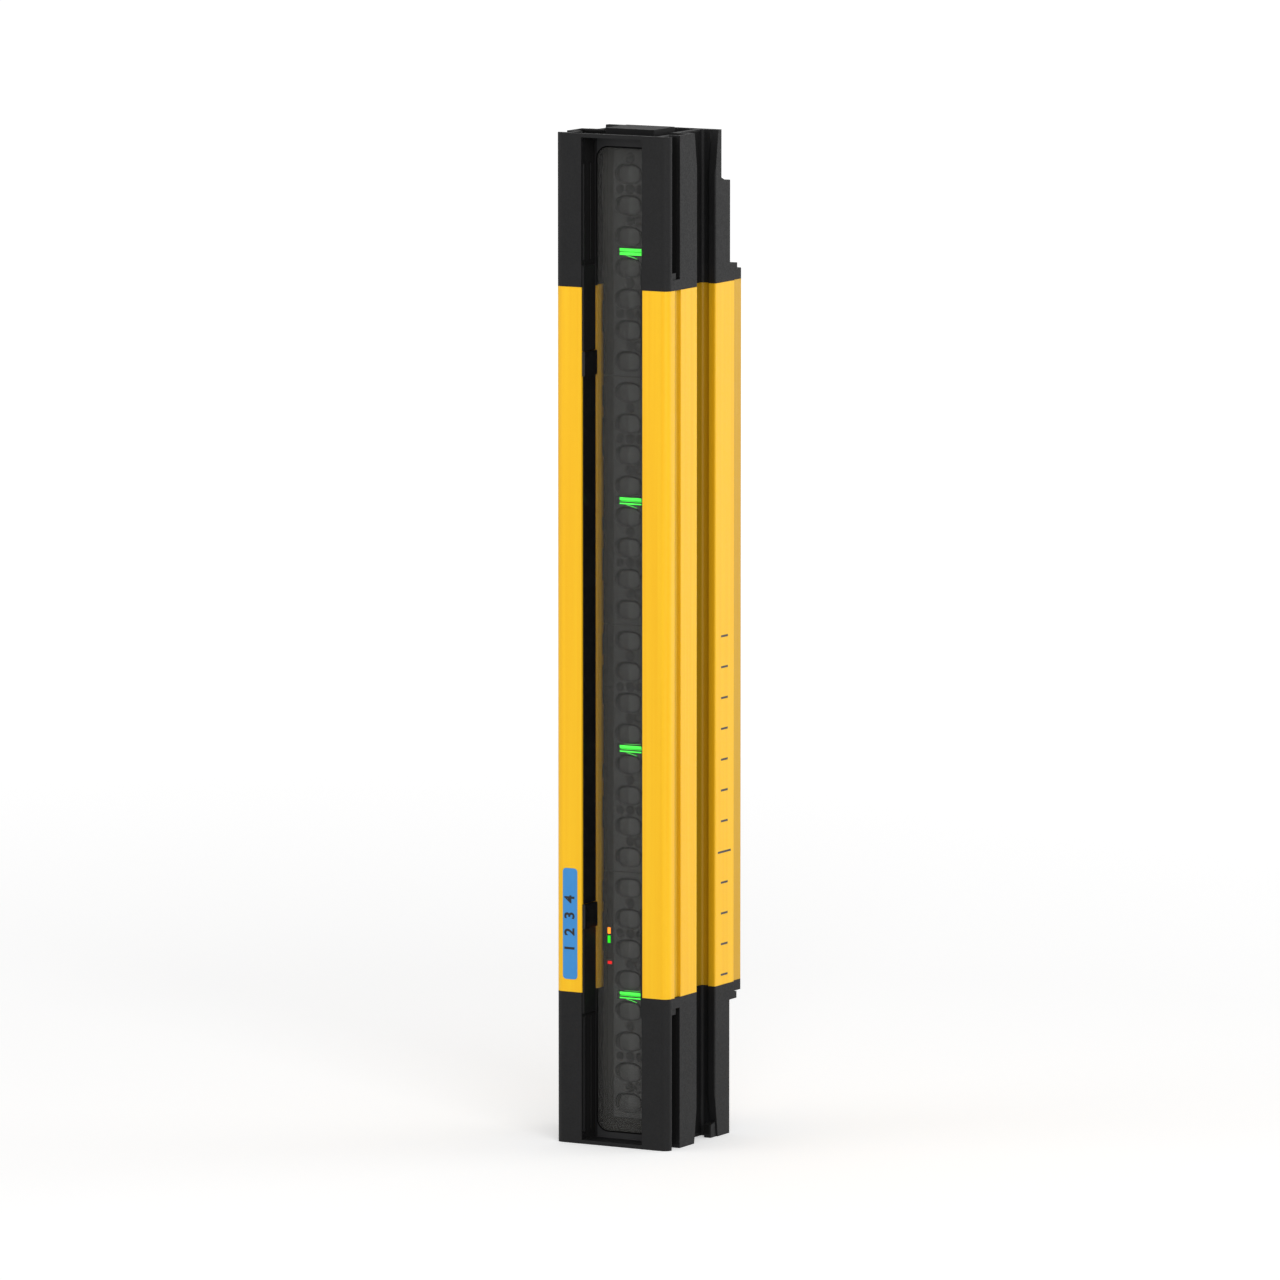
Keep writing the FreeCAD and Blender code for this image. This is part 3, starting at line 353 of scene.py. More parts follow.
def makeWindowFinish():
    # a clear gloss over long shallow waves, as in cast sheet
    material, tree, output, place = newMaterial("smokeTintedAcrylic")
    s = smokeAcrylic
    waves = noiseAt(tree, place, s["waveSize"], s["waveDetail"])
    bump = addNode(tree, "ShaderNodeBump",
                   inputs={"Strength": s["bump"], "Distance": s["lift"] * mm, "Height": waves})
    shader = addNode(tree, "ShaderNodeBsdfPrincipled",
                     inputs={"Base Color": toLinear(s["colour"]), "Alpha": s["alpha"],
                             "Roughness": s["roughness"], "IOR": s["ior"],
                             "Specular IOR Level": s["specular"], "Normal": bump})
    tree.links.new(shader.outputs["BSDF"], output.inputs["Surface"])
    return material


# The lit faces, inside the lips that hold them; a thin groove splits the lower three zone lights.
litFaces = {
    "zone": {"left": -3.15, "right": 3.8, "middle": 41.475, "pitch": modulePitch, "halfHeight": 0.95,
             "grooveMiddle": -0.4, "grooveHalf": 0.18, "grooveBelow": 200.0},
    "narrow": {"left": -7.4, "right": -6.1},
    "red": {"left": -7.05, "right": -5.6, "middle": 50.42, "halfHeight": 0.42},
}
# Light pipes: milky acrylic, so that the diodes behind them show as soft cells.
lightPipe = {
    "cellSize": 2.5, "cellDetail": 1.0, "spread": 0.15, "face": 10.5, "grooveGlow": 0.12, "unlit": "#20231F",
    "roughness": 0.35, "ior": 1.5,
}
lights = {
    "zoneGreen": {"colour": "#45FA44", "strength": 1.7, "bounds": litFaces["zone"]},
    "statusOrange": {"colour": "#FF8A10", "strength": 2.4, "bounds": litFaces["narrow"]},
    "statusGreen": {"colour": "#10D803", "strength": 1.8, "bounds": litFaces["narrow"]},
    "statusRed": {"colour": "#E0090D", "strength": 1.8, "bounds": litFaces["red"]},
}


def litPart(tree, axes, bounds):
    # 1 on a lit face and 0 on its lips and in its groove
    acrossFace = ((axes, "X"), bounds["left"], bounds["right"])
    if "middle" not in bounds:
        return maskOf(tree, acrossFace)
    up = addNode(tree, "ShaderNodeMath", {"operation": "SUBTRACT"}, {0: (axes, "Z"), 1: bounds["middle"]})
    if "pitch" in bounds:
        half = bounds["pitch"] / 2
        up = addNode(tree, "ShaderNodeMath", {"operation": "WRAP"}, {0: up, 1: half, 2: -half})
    face = maskOf(tree, acrossFace, (up, -bounds["halfHeight"], bounds["halfHeight"]))
    if "grooveHalf" not in bounds:
        return face
    low = bounds["grooveMiddle"] - bounds["grooveHalf"]
    high = bounds["grooveMiddle"] + bounds["grooveHalf"]
    groove = maskOf(tree, (up, low, high), ((axes, "Z"), None, bounds["grooveBelow"]))
    return addNode(tree, "ShaderNodeMath", {"operation": "GREATER_THAN"}, {0: face, 1: groove})


def makeLitPlastic(name, settings):
    # a diffusing light pipe: its glow is strongest in soft cells, as over its diodes, and weak in its groove
    material, tree, output, place = newMaterial(name)
    s = lightPipe
    strength = settings["strength"]
    cells = noiseAt(tree, place, s["cellSize"], s["cellDetail"])
    level = addNode(tree, "ShaderNodeMapRange",
                    inputs={"Value": cells, "From Min": noiseLow, "From Max": noiseHigh,
                            "To Min": strength * (1 - s["spread"]), "To Max": strength * (1 + s["spread"])})
    axes, across = placesOf(tree, place)
    inGroove = maskOf(tree, ((axes, "Y"), s["face"], None))
    share = addNode(tree, "ShaderNodeMapRange",
                    inputs={"Value": inGroove, "To Min": 1.0, "To Max": s["grooveGlow"]})
    glow = addNode(tree, "ShaderNodeMath", {"operation": "MULTIPLY"}, {0: level, 1: share})
    colour = toLinear(settings["colour"])
    shader = addNode(tree, "ShaderNodeBsdfPrincipled",
                     inputs={"Base Color": colour, "Roughness": s["roughness"], "IOR": s["ior"],
                             "Emission Color": colour})
    if "bounds" in settings:
        lit = litPart(tree, axes, settings["bounds"])
        glow = addNode(tree, "ShaderNodeMath", {"operation": "MULTIPLY"}, {0: glow, 1: lit})
        tint = addNode(tree, "ShaderNodeMix", {"data_type": "RGBA"},
                       {mixFactor: lit, mixFirst: toLinear(s["unlit"]), mixSecond: colour})
        tree.links.new(tint.outputs[mixResult], shader.inputs["Base Color"])
    tree.links.new(glow.outputs["Value"], shader.inputs["Emission Strength"])
    tree.links.new(shader.outputs["BSDF"], output.inputs["Surface"])
    return material


# Printed label: matt calendered vinyl, and the ink of its numerals.
labelVinyl = {
    "colour": "#2F88CE", "secondColour": "#358DD2", "patchSize": 7.0, "grainSize": 0.5,
    "roughness": 0.4, "roughSpread": 0.05, "bump": 0.08, "lift": 0.02, "ior": 1.5, "specular": 0.5,
}
printInk = {
    "colour": "#17171A", "secondColour": "#1D1D20", "patchSize": 1.5, "grainSize": 0.3,
    "roughness": 0.5, "roughSpread": 0.06, "bump": 0.1, "lift": 0.01, "ior": 1.5, "specular": 0.4,
}

finishes = {
    "yellow_housing": makeHousingFinish(),
    "black_cap": makeCapFinish(),
    "tinted_window": makeWindowFinish(),
    "black_lining": grainedPlastic("liningPvc", liningPlastic)[0],
    "gasket_rubber": grainedPlastic("cellularRubber", gasketRubber)[0],
    "carrier_plastic": grainedPlastic("carrierAbs", carrierPlastic)[0],
    "lens_plastic": makeLensFinish(),
    "zone_light_green": makeLitPlastic("greenLightPipe", lights["zoneGreen"]),
    "status_light_orange": makeLitPlastic("orangeLightPipe", lights["statusOrange"]),
    "status_light_green": makeLitPlastic("smallGreenLightPipe", lights["statusGreen"]),
    "status_light_red": makeLitPlastic("redLightPipe", lights["statusRed"]),
    "circuit_board": grainedPlastic("glassEpoxyBoard", boardResist)[0],
    "photodiode_package": grainedPlastic("packageEpoxy", packageEpoxy)[0],
    "connector_plastic": grainedPlastic("connectorPbt", connectorPlastic)[0],
    "contact_metal": makeMetal("goldPlatedContact", contactGold),
    "flat_lead": grainedPlastic("ribbonPvc", ribbonPlastic)[0],
    "cover_plastic": grainedPlastic("coverPolyamide", coverPlastic)[0],
    "screw_steel": makeMetal("zincPlatedSteel", screwZinc),
    "blue_label": grainedPlastic("labelVinyl", labelVinyl)[0],
}
inkFinish = grainedPlastic("screenInk", printInk)[0]

slotOf = {row["node"]: row["material_slot"] for row in frame["record"]["subparts"]}
for name, node in nodes.items():
    node.data.materials.clear()
    node.data.materials.append(finishes[slotOf[name]])
print("finishes made:", len(finishes))


def makeMesh(name, points, faces, finish, smooth=True):
    # a piece whose points are already in the row frame, riding on the one body
    mesh = bpy.data.meshes.new(name)
    mesh.from_pydata(np.asarray(points, float).tolist(), [], [tuple(face) for face in faces])
    mesh.materials.append(finish)
    mesh.polygons.foreach_set("use_smooth", np.full(len(mesh.polygons), smooth))
    mesh.update()
    piece = bpy.data.objects.new(name, mesh)
    bpy.context.scene.collection.objects.link(piece)
    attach(piece, "root")
    return piece


def smoothStep(value, low, high):
    # 0 below low, 1 above high, and between them the S curve 3 t squared less 2 t cubed
    t = np.clip((value - low) / (high - low), 0, 1)
    return t * t * (3 - 2 * t)


# Lens strips: one moulded plate a module, with a crowned lens sunk in a pocket at each place and small
# moulded hollows between the lenses.
lensStrip = {
    "gap": 0.2, "top": 280.4, "halfWidth": 5.18, "back": 11.75,
    "lensHalfWidth": 3.2, "lensHalfHeight": 2.4, "lensPower": 3.0, "lensDrop": 0.22, "lensRight": -0.25,
    "crown": 0.05, "edgeRise": -0.5,
    # the pocket reaches further to the left of the lens and above it than to the right and below
    "pocketHalfWidth": 4.55, "pocketHalfHeight": 2.95, "pocketLeft": 0.4, "pocketUp": 0.15,
    "pocketDepth": 0.7, "pocketWall": 0.08, "pocketPower": 2.4,
    # painted shade: the lens is painted darker on its left than on its right, and the pocket is painted
    # darkest above it
    "lensShadeEdge": -0.3, "leftLensTone": 0.05, "lensTone": 0.55, "sideTone": 0.6, "topTone": 0.3,
    # what stands above a lens, numbered from the module's lowest: a hole with a clip, three holes, a hole
    # alone or the slot of the zone light
    "clipAbove": (0, 4), "threeAbove": (1, 5), "aloneAbove": (2, 6), "barAbove": 3,
    # painted shade: holeTone and clipTone paint the holes and the clip's groove darker
    "holeRadius": 1.75, "holeDepth": 0.4, "holeRim": 0.4, "holeTone": 0.6,
    "sideHole": 1.55, "sideDepth": 0.35, "sideSpread": 3.2,
    "clipRadius": 1.25, "clipPlace": 2.9, "clipWidth": 0.3, "clipDepth": 0.4, "clipReach": 0.6,
    "clipTone": 0.6, "padHalf": 0.55, "padRise": 0.2,
    "barHalfHeight": 1.15, "barDepth": 1.2, "barHalfWidth": 3.95,
    # painted light: the strips are painted a little lighter towards the foot, less so in the hollows
    "footTone": 0.4, "footHigh": 150.0, "footLow": 30.0, "footFade": 2.0,
    "step": 0.14, "edge": 0.3,
}


def within(distance, reach):
    # 1 inside a reach and 0 outside, over a soft edge
    return 1 - smoothStep(distance, reach - lensStrip["edge"] / 2, reach + lensStrip["edge"] / 2)


def roundness(x, z, halfWidth, halfHeight, power):
    # 1 on a rounded oval of these half sizes and less inside it: the two distances, each as a share of its
    # half size, raised to a power and added, and the root of that
    return (np.abs(x / halfWidth) ** power + np.abs(z / halfHeight) ** power) ** (1 / power)


def bowl(distance, radius):
    # a round hollow with a soft rim: 1 in the middle, 0 from the radius on
    return smoothStep(1 - distance / radius, 0, lensStrip["holeRim"])


def stripRise(x, z, lenses):
    # height of the strip's face in front of its plane, and its tone of painted light and shade, at x across
    # and z above the lowest lens:
    # a crowned lens sunk in an oval pocket, and between the lenses small bowls or the slot of a zone light
    s = lensStrip
    place = np.clip(np.round(z / lensPitch), 0, lenses - 1)
    up = z - place * lensPitch + s["lensDrop"]
    oval = roundness(x - s["lensRight"], up, s["lensHalfWidth"], s["lensHalfHeight"], s["lensPower"])
    crown = s["crown"] - (s["crown"] - s["edgeRise"]) * np.minimum(oval, 1) ** 2
    hollow = roundness(x + s["pocketLeft"], up - s["pocketUp"], s["pocketHalfWidth"], s["pocketHalfHeight"],
                       s["pocketPower"])
    sunk = smoothStep(1 - hollow, 0, s["pocketWall"])
    onLens = within(oval * s["lensHalfWidth"], s["lensHalfWidth"])
    rise = -s["pocketDepth"] * sunk * (1 - onLens) + crown * onLens
    # painted light and shade: lighter on the lens's right part, and in the pocket darker towards its top
    lighterRight = smoothStep(x, s["lensShadeEdge"] - s["edge"], s["lensShadeEdge"] + s["edge"])
    bright = s["leftLensTone"] + (s["lensTone"] - s["leftLensTone"]) * lighterRight
    dark = np.clip(s["sideTone"] + s["topTone"] * up / s["lensHalfHeight"], 0, 1)
    tone = bright * onLens - dark * sunk * (1 - onLens)
    gap = np.floor(z / lensPitch)
    across = z - (gap + 0.5) * lensPitch
    clipped = np.isin(gap, s["clipAbove"])
    three = np.isin(gap, s["threeAbove"])
    inner = clipped | three | np.isin(gap, s["aloneAbove"])
    pit = bowl(np.hypot(x, across), s["holeRadius"]) * inner
    cut = s["holeDepth"] * pit
    for side in (-s["sideSpread"], s["sideSpread"]):
        part = bowl(np.hypot(x - side, across), s["sideHole"]) * three
        cut = cut + s["sideDepth"] * part
        pit = pit + part
    ring = np.abs(np.hypot(x - s["clipPlace"], across) - s["clipRadius"])
    part = within(ring, s["clipWidth"]) * clipped * (x < s["clipPlace"] + s["clipReach"])
    cut = cut + s["clipDepth"] * part
    pit = pit + s["clipTone"] * part
    pad = np.maximum(np.abs(x - s["clipPlace"]), np.abs(across))
    rise = rise - cut * (1 - onLens) + s["padRise"] * within(pad, s["padHalf"]) * clipped
    # painted shade in the holes and the clip's groove
    tone = np.clip(tone - s["holeTone"] * pit * (1 - onLens), -1, 1)
    bar = within(np.abs(across), s["barHalfHeight"]) * within(np.abs(x), s["barHalfWidth"])
    bar = bar * (gap == s["barAbove"])
    return rise * (1 - bar) - s["barDepth"] * bar, tone


def makeLensStrip(number):
    # a closed bar: its section runs over the front in fine steps and back round behind, and is carried up
    # the module, each front point moved out by the rise at its place
    s = lensStrip
    lenses = lensesEach - (number == moduleCount)
    low = -(lensPitch - s["gap"]) / 2
    start = lowestLens + (number - 1) * modulePitch
    high = s["top"] - start if number == moduleCount else low + lenses * lensPitch - s["gap"]
    across = np.linspace(-s["halfWidth"], s["halfWidth"], int(2 * s["halfWidth"] / s["step"]) + 1)
    up = np.linspace(low, high, int((high - low) / s["step"]) + 1)
    gridX, gridZ = np.meshgrid(across, up)
    rise, tone = stripRise(gridX, gridZ, lenses)
    # painted light, stronger towards the foot
    light = s["footTone"] * (1 - smoothStep(gridZ + start, s["footLow"], s["footHigh"]))
    tone = tone + light * np.clip(1 + s["footFade"] * tone, 0, 1)
    frontY = carrierFace - rise
    rows, columns = gridX.shape
    backX = np.tile([s["halfWidth"], -s["halfWidth"]], (rows, 1))
    backZ = np.tile(up[:, None], (1, 2))
    allX = np.hstack([gridX, backX])
    allY = np.hstack([frontY, np.full((rows, 2), s["back"])])
    allZ = np.hstack([gridZ, backZ])
    points = np.stack([allX, allY - depth / 2, allZ + start], axis=-1).reshape(-1, 3) * mm
    wide = columns + 2
    index = np.arange(rows * wide).reshape(rows, wide)
    following = np.roll(index, -1, axis=1)
    sides = np.stack([index[:-1], following[:-1], following[1:], index[1:]], axis=-1).reshape(-1, 4)
    faces = sides.tolist() + [index[0][::-1].tolist(), index[-1].tolist()]
    strip = makeMesh(f"lensPlate{number}", points, faces, finishes["lens_plastic"])
    toneLayer = strip.data.attributes.new("tone", "FLOAT", "POINT")
    toneLayer.data.foreach_set("value", np.hstack([tone, np.zeros((rows, 2))]).astype(np.float32).ravel())
    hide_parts(f"lens_strip_{number}")
    return strip


# Painted reflection: where a pocket's rim stands next to a zone light, thin glowing green threads stand in
# for the rim's reflection of the light.
paintedRimReflection = {
    "radius": 0.11, "face": 10.25, "points": 40, "colour": "#58F356", "strength": 1.1,
    # below the light: from its edge downwards to the right; above it, on the lower two modules: nearly level
    "lowFrom": -1.0, "lowTo": 2.5, "lowGap": 0.12, "lowFall": 0.8, "lowPower": 1.3,
    "highFrom": -1.6, "highTo": 3.7, "highGap": 0.36, "highRise": 0.12, "highPower": 1.0,
    "highRadius": 0.06, "highModules": 2,
}
finishes["rim_glow"] = makeLitPlastic("paintedGreenReflection", paintedRimReflection)
thread = {"around": 8, "tip": 0.15}  # points round it, and radians of the half sine that its tips leave off


def makeThread(name, path, radius, finish):
    # a thin tube: a circle carried along a path in the plane of the face, tapered to its ends by the root
    # of a half sine
    s = thread
    along = np.gradient(path, axis=0)
    along /= np.linalg.norm(along, axis=1, keepdims=True)
    outward = np.cross((0, 1, 0), along)
    turn = np.linspace(0, 2 * math.pi, s["around"], endpoint=False)
    taper = radius * np.sqrt(np.sin(np.linspace(s["tip"], math.pi - s["tip"], len(path))))
    ring = (np.cos(turn)[None, :, None] * outward[:, None, :]
            + np.sin(turn)[None, :, None] * np.array((0, 1, 0))[None, None, :])
    points = (path[:, None, :] + ring * taper[:, None, None]).reshape(-1, 3) * mm
    index = np.arange(len(points)).reshape(len(path), s["around"])
    following = np.roll(index, -1, axis=1)
    walls = np.stack([index[:-1], following[:-1], following[1:], index[1:]], -1).reshape(-1, 4).tolist()
    faces = walls + [index[0][::-1].tolist(), index[-1].tolist()]
    return makeMesh(name, points, faces, finish)


def makeReflectionLine(name, left, right, foot, rise, power, radius):
    # a thread across the face, whose height leaves its foot as a power of the share of the way across
    s = paintedRimReflection
    x = np.linspace(left, right, s["points"])
    z = foot + rise * ((x - left) / (right - left)) ** power
    path = np.column_stack([x, np.full_like(x, s["face"] - depth / 2), z])
    makeThread(name, path, radius, finishes["rim_glow"])


def makeRimReflection(number):
    # painted reflections: a glowing line that falls away below the light, and on the lower modules one that
    # rises above it
    s = paintedRimReflection
    middle = lowestLens + ((number - 1) * lensesEach + lensStrip["barAbove"] + 0.5) * lensPitch
    reach = litFaces["zone"]["halfHeight"]
    low = middle - reach - s["lowGap"]
    makeReflectionLine(f"lowerGlow{number}", s["lowFrom"], s["lowTo"], low, -s["lowFall"], s["lowPower"],
                 s["radius"])
    if number <= s["highModules"]:
        high = middle + reach + s["highGap"]
        makeReflectionLine(f"upperGlow{number}", s["highFrom"], s["highTo"], high, s["highRise"], s["highPower"],
                     s["highRadius"])


for number in range(1, moduleCount + 1):
    makeLensStrip(number)
    makeRimReflection(number)
print("lens strips made")


# Carrier mouldings: a rib up each side of the modules, small tabs that centre them between the slot's walls,
# and a thin baffle behind the window's foot.
carrierMoulding = {
    "ribPlace": 7.2, "ribHalf": 0.16, "ribRise": 0.22, "low": 4.8, "high": 280.2, "points": 9,
    "tabInner": 8.3, "tabOuter": 8.85, "tabFront": 10.5, "tabBack": 12.0, "tabRadius": 0.25,
    "tabPlaces": (12.0, 26.0, 47.0, 61.0), "tabHeights": (9.0, 4.0, 11.0, 6.0), "firstFoot": 6.6,
    "baffleLeft": -7.75, "baffleRight": 8.3, "baffleLow": 2.0, "baffleHigh": 4.9,
    "baffleFront": 9.23, "baffleBack": 9.28,
}


def sweepUp(name, section, low, high, finish, smooth=False):
    # a closed section in x and depth carried straight up from one height to another, with flat ends; its
    # area comes out positive where it runs anticlockwise as seen from above, and it is then turned round,
    # so that the faces point outwards
    section = np.asarray(section, float)
    ahead = np.roll(section, -1, axis=0)
    area = np.sum(section[:, 0] * ahead[:, 1] - ahead[:, 0] * section[:, 1]) / 2
    if area > 0:
        section = section[::-1]
    count = len(section)
    levels = [np.column_stack([section[:, 0], section[:, 1] - depth / 2, np.full(count, z)])
              for z in (low, high)]
    ring = np.arange(count)
    after = np.roll(ring, -1)
    walls = np.stack([ring, ring + count, after + count, after], -1).tolist()
    faces = walls + [ring.tolist(), (ring + count)[::-1].tolist()]
    return makeMesh(name, np.concatenate(levels) * mm, faces, finish, smooth)


def makeCarrierMouldings():
    # ribs and tabs on both sides, and the baffle across
    s = carrierMoulding
    finish = finishes["carrier_plastic"]
    turn = np.linspace(0, math.pi, s["points"])
    for side, word in ((-1, "left"), (1, "right")):
        # a half ellipse across the rib's width, standing on the carrier's face
        rib = np.stack([side * s["ribPlace"] - s["ribHalf"] * np.cos(turn),
                        carrierFace - s["ribRise"] * np.sin(turn)], -1)
        sweepUp(f"{word}CarrierRib", rib, s["low"], s["high"], finish, True)
        for module in range(moduleCount):
            for number, (place, height) in enumerate(zip(s["tabPlaces"], s["tabHeights"]), 1):
                foot = s["firstFoot"] + module * modulePitch + place
                if foot + height > s["high"]:
                    continue
                r = s["tabRadius"]
                tab = np.array([[s["tabInner"], s["tabBack"]], [s["tabInner"], s["tabFront"]],
                                [s["tabOuter"] - r, s["tabFront"]], [s["tabOuter"], s["tabFront"] + r],
                                [s["tabOuter"], s["tabBack"]]]) * (side, 1)
                name = f"{word}Tab{module + 1}_{number}"
                sweepUp(name, tab, foot, foot + height, finish)
    baffle = [[s["baffleLeft"], s["baffleBack"]], [s["baffleLeft"], s["baffleFront"]],
              [s["baffleRight"], s["baffleFront"]], [s["baffleRight"], s["baffleBack"]]]
    sweepUp("footBaffle", baffle, s["baffleLow"], s["baffleHigh"], finish)


makeCarrierMouldings()
print("carrier mouldings made")


# Cap ribs: two thin ribs along each wall of the caps' front recess.
wallRib = {
    "wall": 9.65, "rise": 0.45, "half": 0.2, "crown": 0.12, "root": 0.03, "places": (1.0, 4.75),
    "spans": (("lower", 3.2, 36.0), ("upper", 249.5, 276.5)),
}


def makeWallRibs():
    # a small trapezium on the wall, its crown narrower than its foot, carried up the cap
    s = wallRib
    inner = s["wall"] - s["rise"]
    outer = s["wall"] + s["root"]
    for cap, low, high in s["spans"]:
        for number, place in enumerate(s["places"], 1):
            for side, word in ((-1, "left"), (1, "right")):
                rib = np.array([[outer, place - s["half"]], [inner, place - s["crown"]],
                                [inner, place + s["crown"]], [outer, place + s["half"]]]) * (side, 1)
                name = f"{cap}{word.capitalize()}Rib{number}"
                sweepUp(name, rib, low, high, finishes["black_cap"])


# Window bead: a thin black bead in each cap, along the edge of the opening that the window shows through, a
# painted shadow of the gap between the frame and the window.
windowShadowBead = {
    "halfWidth": 8.55, "corner": 3.5, "radius": 0.18, "face": 7.08, "points": 14, "side": 30,
    "ends": (("lower", 2.95, 43.2), ("upper", 281.0, 242.6)),  # the opening's end and the cap's inner end
}
shadowBeadBlack = {
    "colour": "#030303", "secondColour": "#050505", "patchSize": 3.0, "grainSize": 0.4,
    "roughness": 0.9, "roughSpread": 0.05, "bump": 0.1, "lift": 0.01, "ior": 1.45, "specular": 0.1,
}


def makeWindowShadowBead():
    # a U of two straight sides joined over two quarter circles, all in one plane
    s = windowShadowBead
    finish = grainedPlastic("shadowBeadBlack", shadowBeadBlack)[0]
    turn = np.linspace(0, math.pi / 2, s["points"])
    reach = s["halfWidth"] - s["corner"]
    for cap, end, inner in s["ends"]:
        away = math.copysign(1, inner - end)
        straight = np.linspace(inner, end + away * s["corner"], s["side"])[:-1]
        side = np.column_stack([np.full(len(straight), -s["halfWidth"]), straight])
        bend = np.column_stack([-reach - s["corner"] * np.cos(turn),
                                end + away * s["corner"] * (1 - np.sin(turn))])
        half = np.vstack([side, bend])
        flat = np.vstack([half, half[::-1] * (-1, 1)])
        path = np.column_stack([flat[:, 0], np.full(len(flat), s["face"] - depth / 2), flat[:, 1]])
        makeThread(f"{cap}WindowShadowBead", path, s["radius"], finish)


makeWallRibs()
makeWindowShadowBead()
print("cap ribs and window beads made")


# Label: a thin vinyl plate on the left flange with the four zone numbers.
zoneLabel = {
    "left": -15.6, "right": -11.0, "low": 46.6, "high": 78.1, "back": 0.0, "front": -0.1, "radius": 1.0,
    "corner": 8, "numbers": "1  2  3  4", "textSize": 4.4, "weight": 0.12, "inkFront": -0.115,
    "curveSteps": 4,
}


def makeLabel():
    # a rounded rectangle: quarter circles at the corners joined by straight sides, given a thickness
    s = zoneLabel
    turn = np.linspace(0, math.pi / 2, s["corner"])
    outline = []
    for number, (x, z) in enumerate([(s["right"], s["high"]), (s["left"], s["high"]),
                                     (s["left"], s["low"]), (s["right"], s["low"])]):
        angle = turn + number * math.pi / 2
        centreX = x - math.copysign(s["radius"], x - (s["left"] + s["right"]) / 2)
        centreZ = z - math.copysign(s["radius"], z - (s["low"] + s["high"]) / 2)
        outline.append(np.stack([centreX + s["radius"] * np.cos(angle),
                                 centreZ + s["radius"] * np.sin(angle)], -1))
    outline = np.concatenate(outline)
    count = len(outline)
    layers = [np.stack([outline[:, 0], np.full(count, y - depth / 2), outline[:, 1]], -1)
              for y in (s["front"], s["back"])]
    points = np.concatenate(layers) * mm
    ring = np.arange(count)
    after = np.roll(ring, -1)
    walls = np.stack([ring, ring + count, after + count, after], -1).tolist()
    faces = walls + [(ring + count)[::-1].tolist(), ring.tolist()]
    plate = makeMesh("zoneLabelPlate", points, faces, finishes["blue_label"], smooth=False)
    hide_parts("zone_label")
    return plate


def makeLabelNumbers():
    # plain numerals laid along the label, turned to read upwards
    s = zoneLabel
    curve = bpy.data.curves.new("zoneNumbers", "FONT")
    curve.body = s["numbers"]
    curve.size = s["textSize"] * mm
    curve.offset = s["weight"] * mm
    curve.align_x = "CENTER"
    curve.align_y = "CENTER"
    curve.resolution_u = s["curveSteps"]
    text = bpy.data.objects.new("zoneNumbers", curve)
    bpy.context.scene.collection.objects.link(text)
    mesh = bpy.data.meshes.new_from_object(text)
    bpy.data.objects.remove(text)
    centre = Vector(((s["left"] + s["right"]) / 2, s["inkFront"] - depth / 2,
                     (s["low"] + s["high"]) / 2)) * mm
    facing = Matrix(((0, -1, 0), (0, 0, -1), (1, 0, 0))).to_4x4()
    mesh.transform(Matrix.Translation(centre) @ facing)
    mesh.materials.clear()
    mesh.materials.append(inkFinish)
    piece = bpy.data.objects.new("zoneNumbers", mesh)
    bpy.context.scene.collection.objects.link(piece)
    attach(piece, "root")
    return piece


makeLabel()
makeLabelNumbers()
print("label made")


# Studio: a wide pale floor, an even sky and three large soft lamps. Its sizes are in metres, apart from
# floorDrop, which is in millimetres and keeps the floor clear of the foot.
studio = {
    "floorRadius": 14.0, "floorPoints": 64, "floorDrop": 0.05, "floorColour": "#E6E6E6",
    "nearGlow": 0.36, "farGlow": 0.62, "nearReach": 0.3, "farReach": 1.6,
    "skyColour": "#FFFFFF", "skyStrength": 0.55, "aimHeight": 0.14,
}


def seenDirectly(tree):
    # 1 for camera, glossy and transmission rays, which see the white of the studio, 0 for the light itself
    path = addNode(tree, "ShaderNodeLightPath")
    first = addNode(tree, "ShaderNodeMath", {"operation": "MAXIMUM"},
                    {0: (path, "Is Camera Ray"), 1: (path, "Is Glossy Ray")})
    return addNode(tree, "ShaderNodeMath", {"operation": "MAXIMUM"},
                   {0: first, 1: (path, "Is Transmission Ray")})


def makeFloor():
    # a flat disc whose own glow grows with the distance from the object, so that it fades into the white
    s = studio
    turn = np.linspace(0, 2 * math.pi, s["floorPoints"], endpoint=False)
    rim = np.stack([np.cos(turn), np.sin(turn), np.zeros_like(turn)], -1) * s["floorRadius"]
    rim[:, 2] = -s["floorDrop"] * mm
    mesh = bpy.data.meshes.new("studioFloor")
    mesh.from_pydata(rim.tolist(), [], [tuple(range(s["floorPoints"]))])
    material, tree, output, place = newMaterial("palePaintedFloor")
    seen = seenDirectly(tree)
    paint = addNode(tree, "ShaderNodeBsdfDiffuse", inputs={"Color": toLinear(s["floorColour"])})
    away = addNode(tree, "ShaderNodeVectorMath", {"operation": "LENGTH"}, {0: (place, "Object")})
    level = addNode(tree, "ShaderNodeMapRange",
                    inputs={"Value": (away, "Value"), "From Min": s["nearReach"], "From Max": s["farReach"],
                            "To Min": s["nearGlow"], "To Max": s["farGlow"]})
    light = addNode(tree, "ShaderNodeMath", {"operation": "MULTIPLY"}, {0: seen, 1: level})
    glow = addNode(tree, "ShaderNodeEmission", inputs={"Strength": light})
    both = addNode(tree, "ShaderNodeAddShader", inputs={0: paint, 1: glow})
    tree.links.new(both.outputs["Shader"], output.inputs["Surface"])
    mesh.materials.append(material)
    floor = bpy.data.objects.new("studioFloor", mesh)
    bpy.context.scene.collection.objects.link(floor)


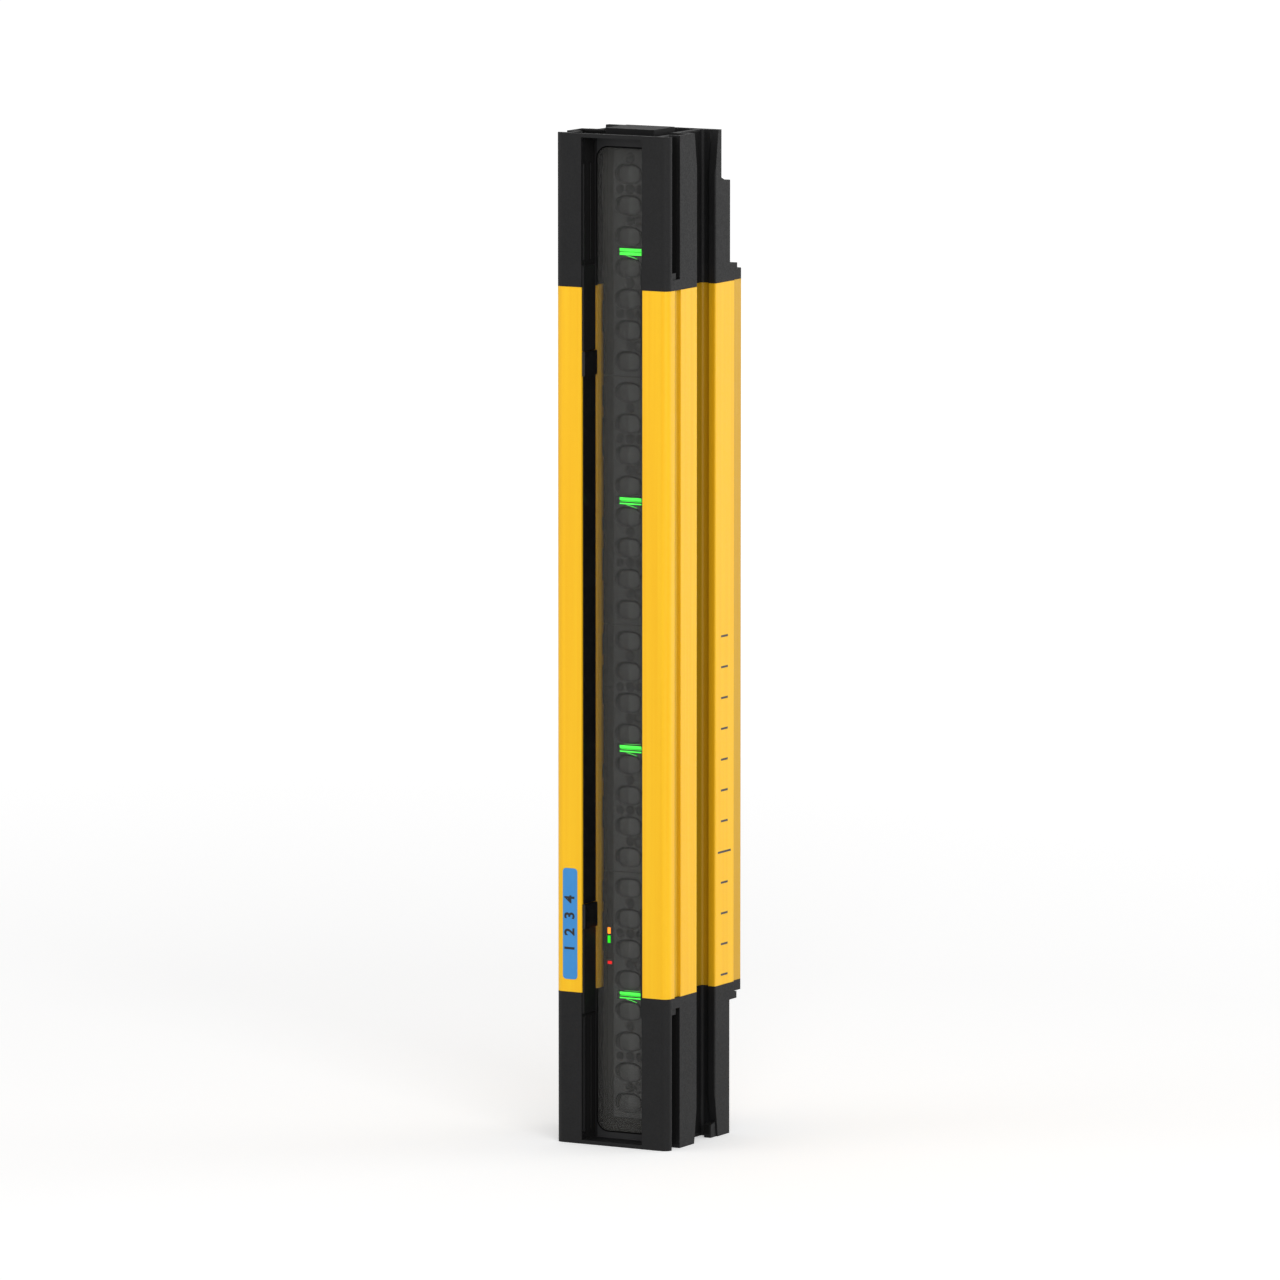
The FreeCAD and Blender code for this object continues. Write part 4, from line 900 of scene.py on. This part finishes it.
def makeSky():
    # an even sky that gives little light and looks white
    world = bpy.data.worlds.new("studioSky")
    bpy.context.scene.world = world
    world.use_nodes = True
    tree = world.node_tree
    tree.nodes.clear()
    seen = seenDirectly(tree)
    strength = addNode(tree, "ShaderNodeMapRange",
                       inputs={"Value": seen, "To Min": studio["skyStrength"], "To Max": 1.0})
    sky = addNode(tree, "ShaderNodeBackground",
                  inputs={"Color": toLinear(studio["skyColour"]), "Strength": strength})
    output = addNode(tree, "ShaderNodeOutputWorld")
    tree.links.new(sky.outputs["Background"], output.inputs["Surface"])


# Places and sides in metres, powers in watts.
lamps = [
    {"name": "keyLamp", "from": (1.3, -1.5, 1.0), "size": 1.4, "power": 21.0},
    {"name": "sideLamp", "from": (1.5, 1.3, 0.35), "size": 1.2, "power": 12.0},
    {"name": "fillLamp", "from": (-1.4, -1.4, 0.8), "size": 1.4, "power": 6.0},
]


def makeLamps():
    # square area lamps turned towards the middle of the object
    target = Vector((0, 0, studio["aimHeight"]))
    for lamp in lamps:
        data = bpy.data.lights.new(lamp["name"], "AREA")
        data.shape = "SQUARE"
        data.size = lamp["size"]
        data.energy = lamp["power"]
        light = bpy.data.objects.new(lamp["name"], data)
        bpy.context.scene.collection.objects.link(light)
        light.location = lamp["from"]
        aim = target - light.location
        light.rotation_mode = "QUATERNION"
        light.rotation_quaternion = aim.to_track_quat("-Z", "Y")


# Camera: fitted on the housing's corners in the photograph. Its places are in metres, its sensor and lens
# in millimetres.
cameraView = {
    "azimuth": 28.94, "elevation": 7.34,  # degrees, to the right of the front and above the level
    "distance": 3.309, "middleHeight": 0.1425, "across": -0.00297, "up": -0.00155,
    "sensor": 36.0, "lens": 331.1, "farthest": 60.0,
}


def makeCamera():
    # a point beside the middle of the body, then back from it along the view
    s = cameraView
    turn = math.radians(s["azimuth"])
    tilt = math.radians(s["elevation"])
    forward = Vector((-math.sin(turn) * math.cos(tilt), math.cos(turn) * math.cos(tilt), -math.sin(tilt)))
    right = Vector((math.cos(turn), math.sin(turn), 0))
    above = right.cross(forward)
    data = bpy.data.cameras.new("photoCamera")
    data.sensor_width = s["sensor"]
    data.lens = s["lens"]
    data.clip_end = s["farthest"]
    camera = bpy.data.objects.new("photoCamera", data)
    bpy.context.scene.collection.objects.link(camera)
    middle = Vector((0, 0, s["middleHeight"])) + right * s["across"] + above * s["up"]
    place = middle - forward * s["distance"]
    axes = Matrix((right, above, -forward)).transposed().to_4x4()
    camera.matrix_world = Matrix.Translation(place) @ axes
    bpy.context.scene.camera = camera


makeFloor()
makeSky()
makeLamps()
makeCamera()
bpy.context.scene.view_settings.view_transform = "Standard"
print("studio made")

bpy.context.view_layer.update()
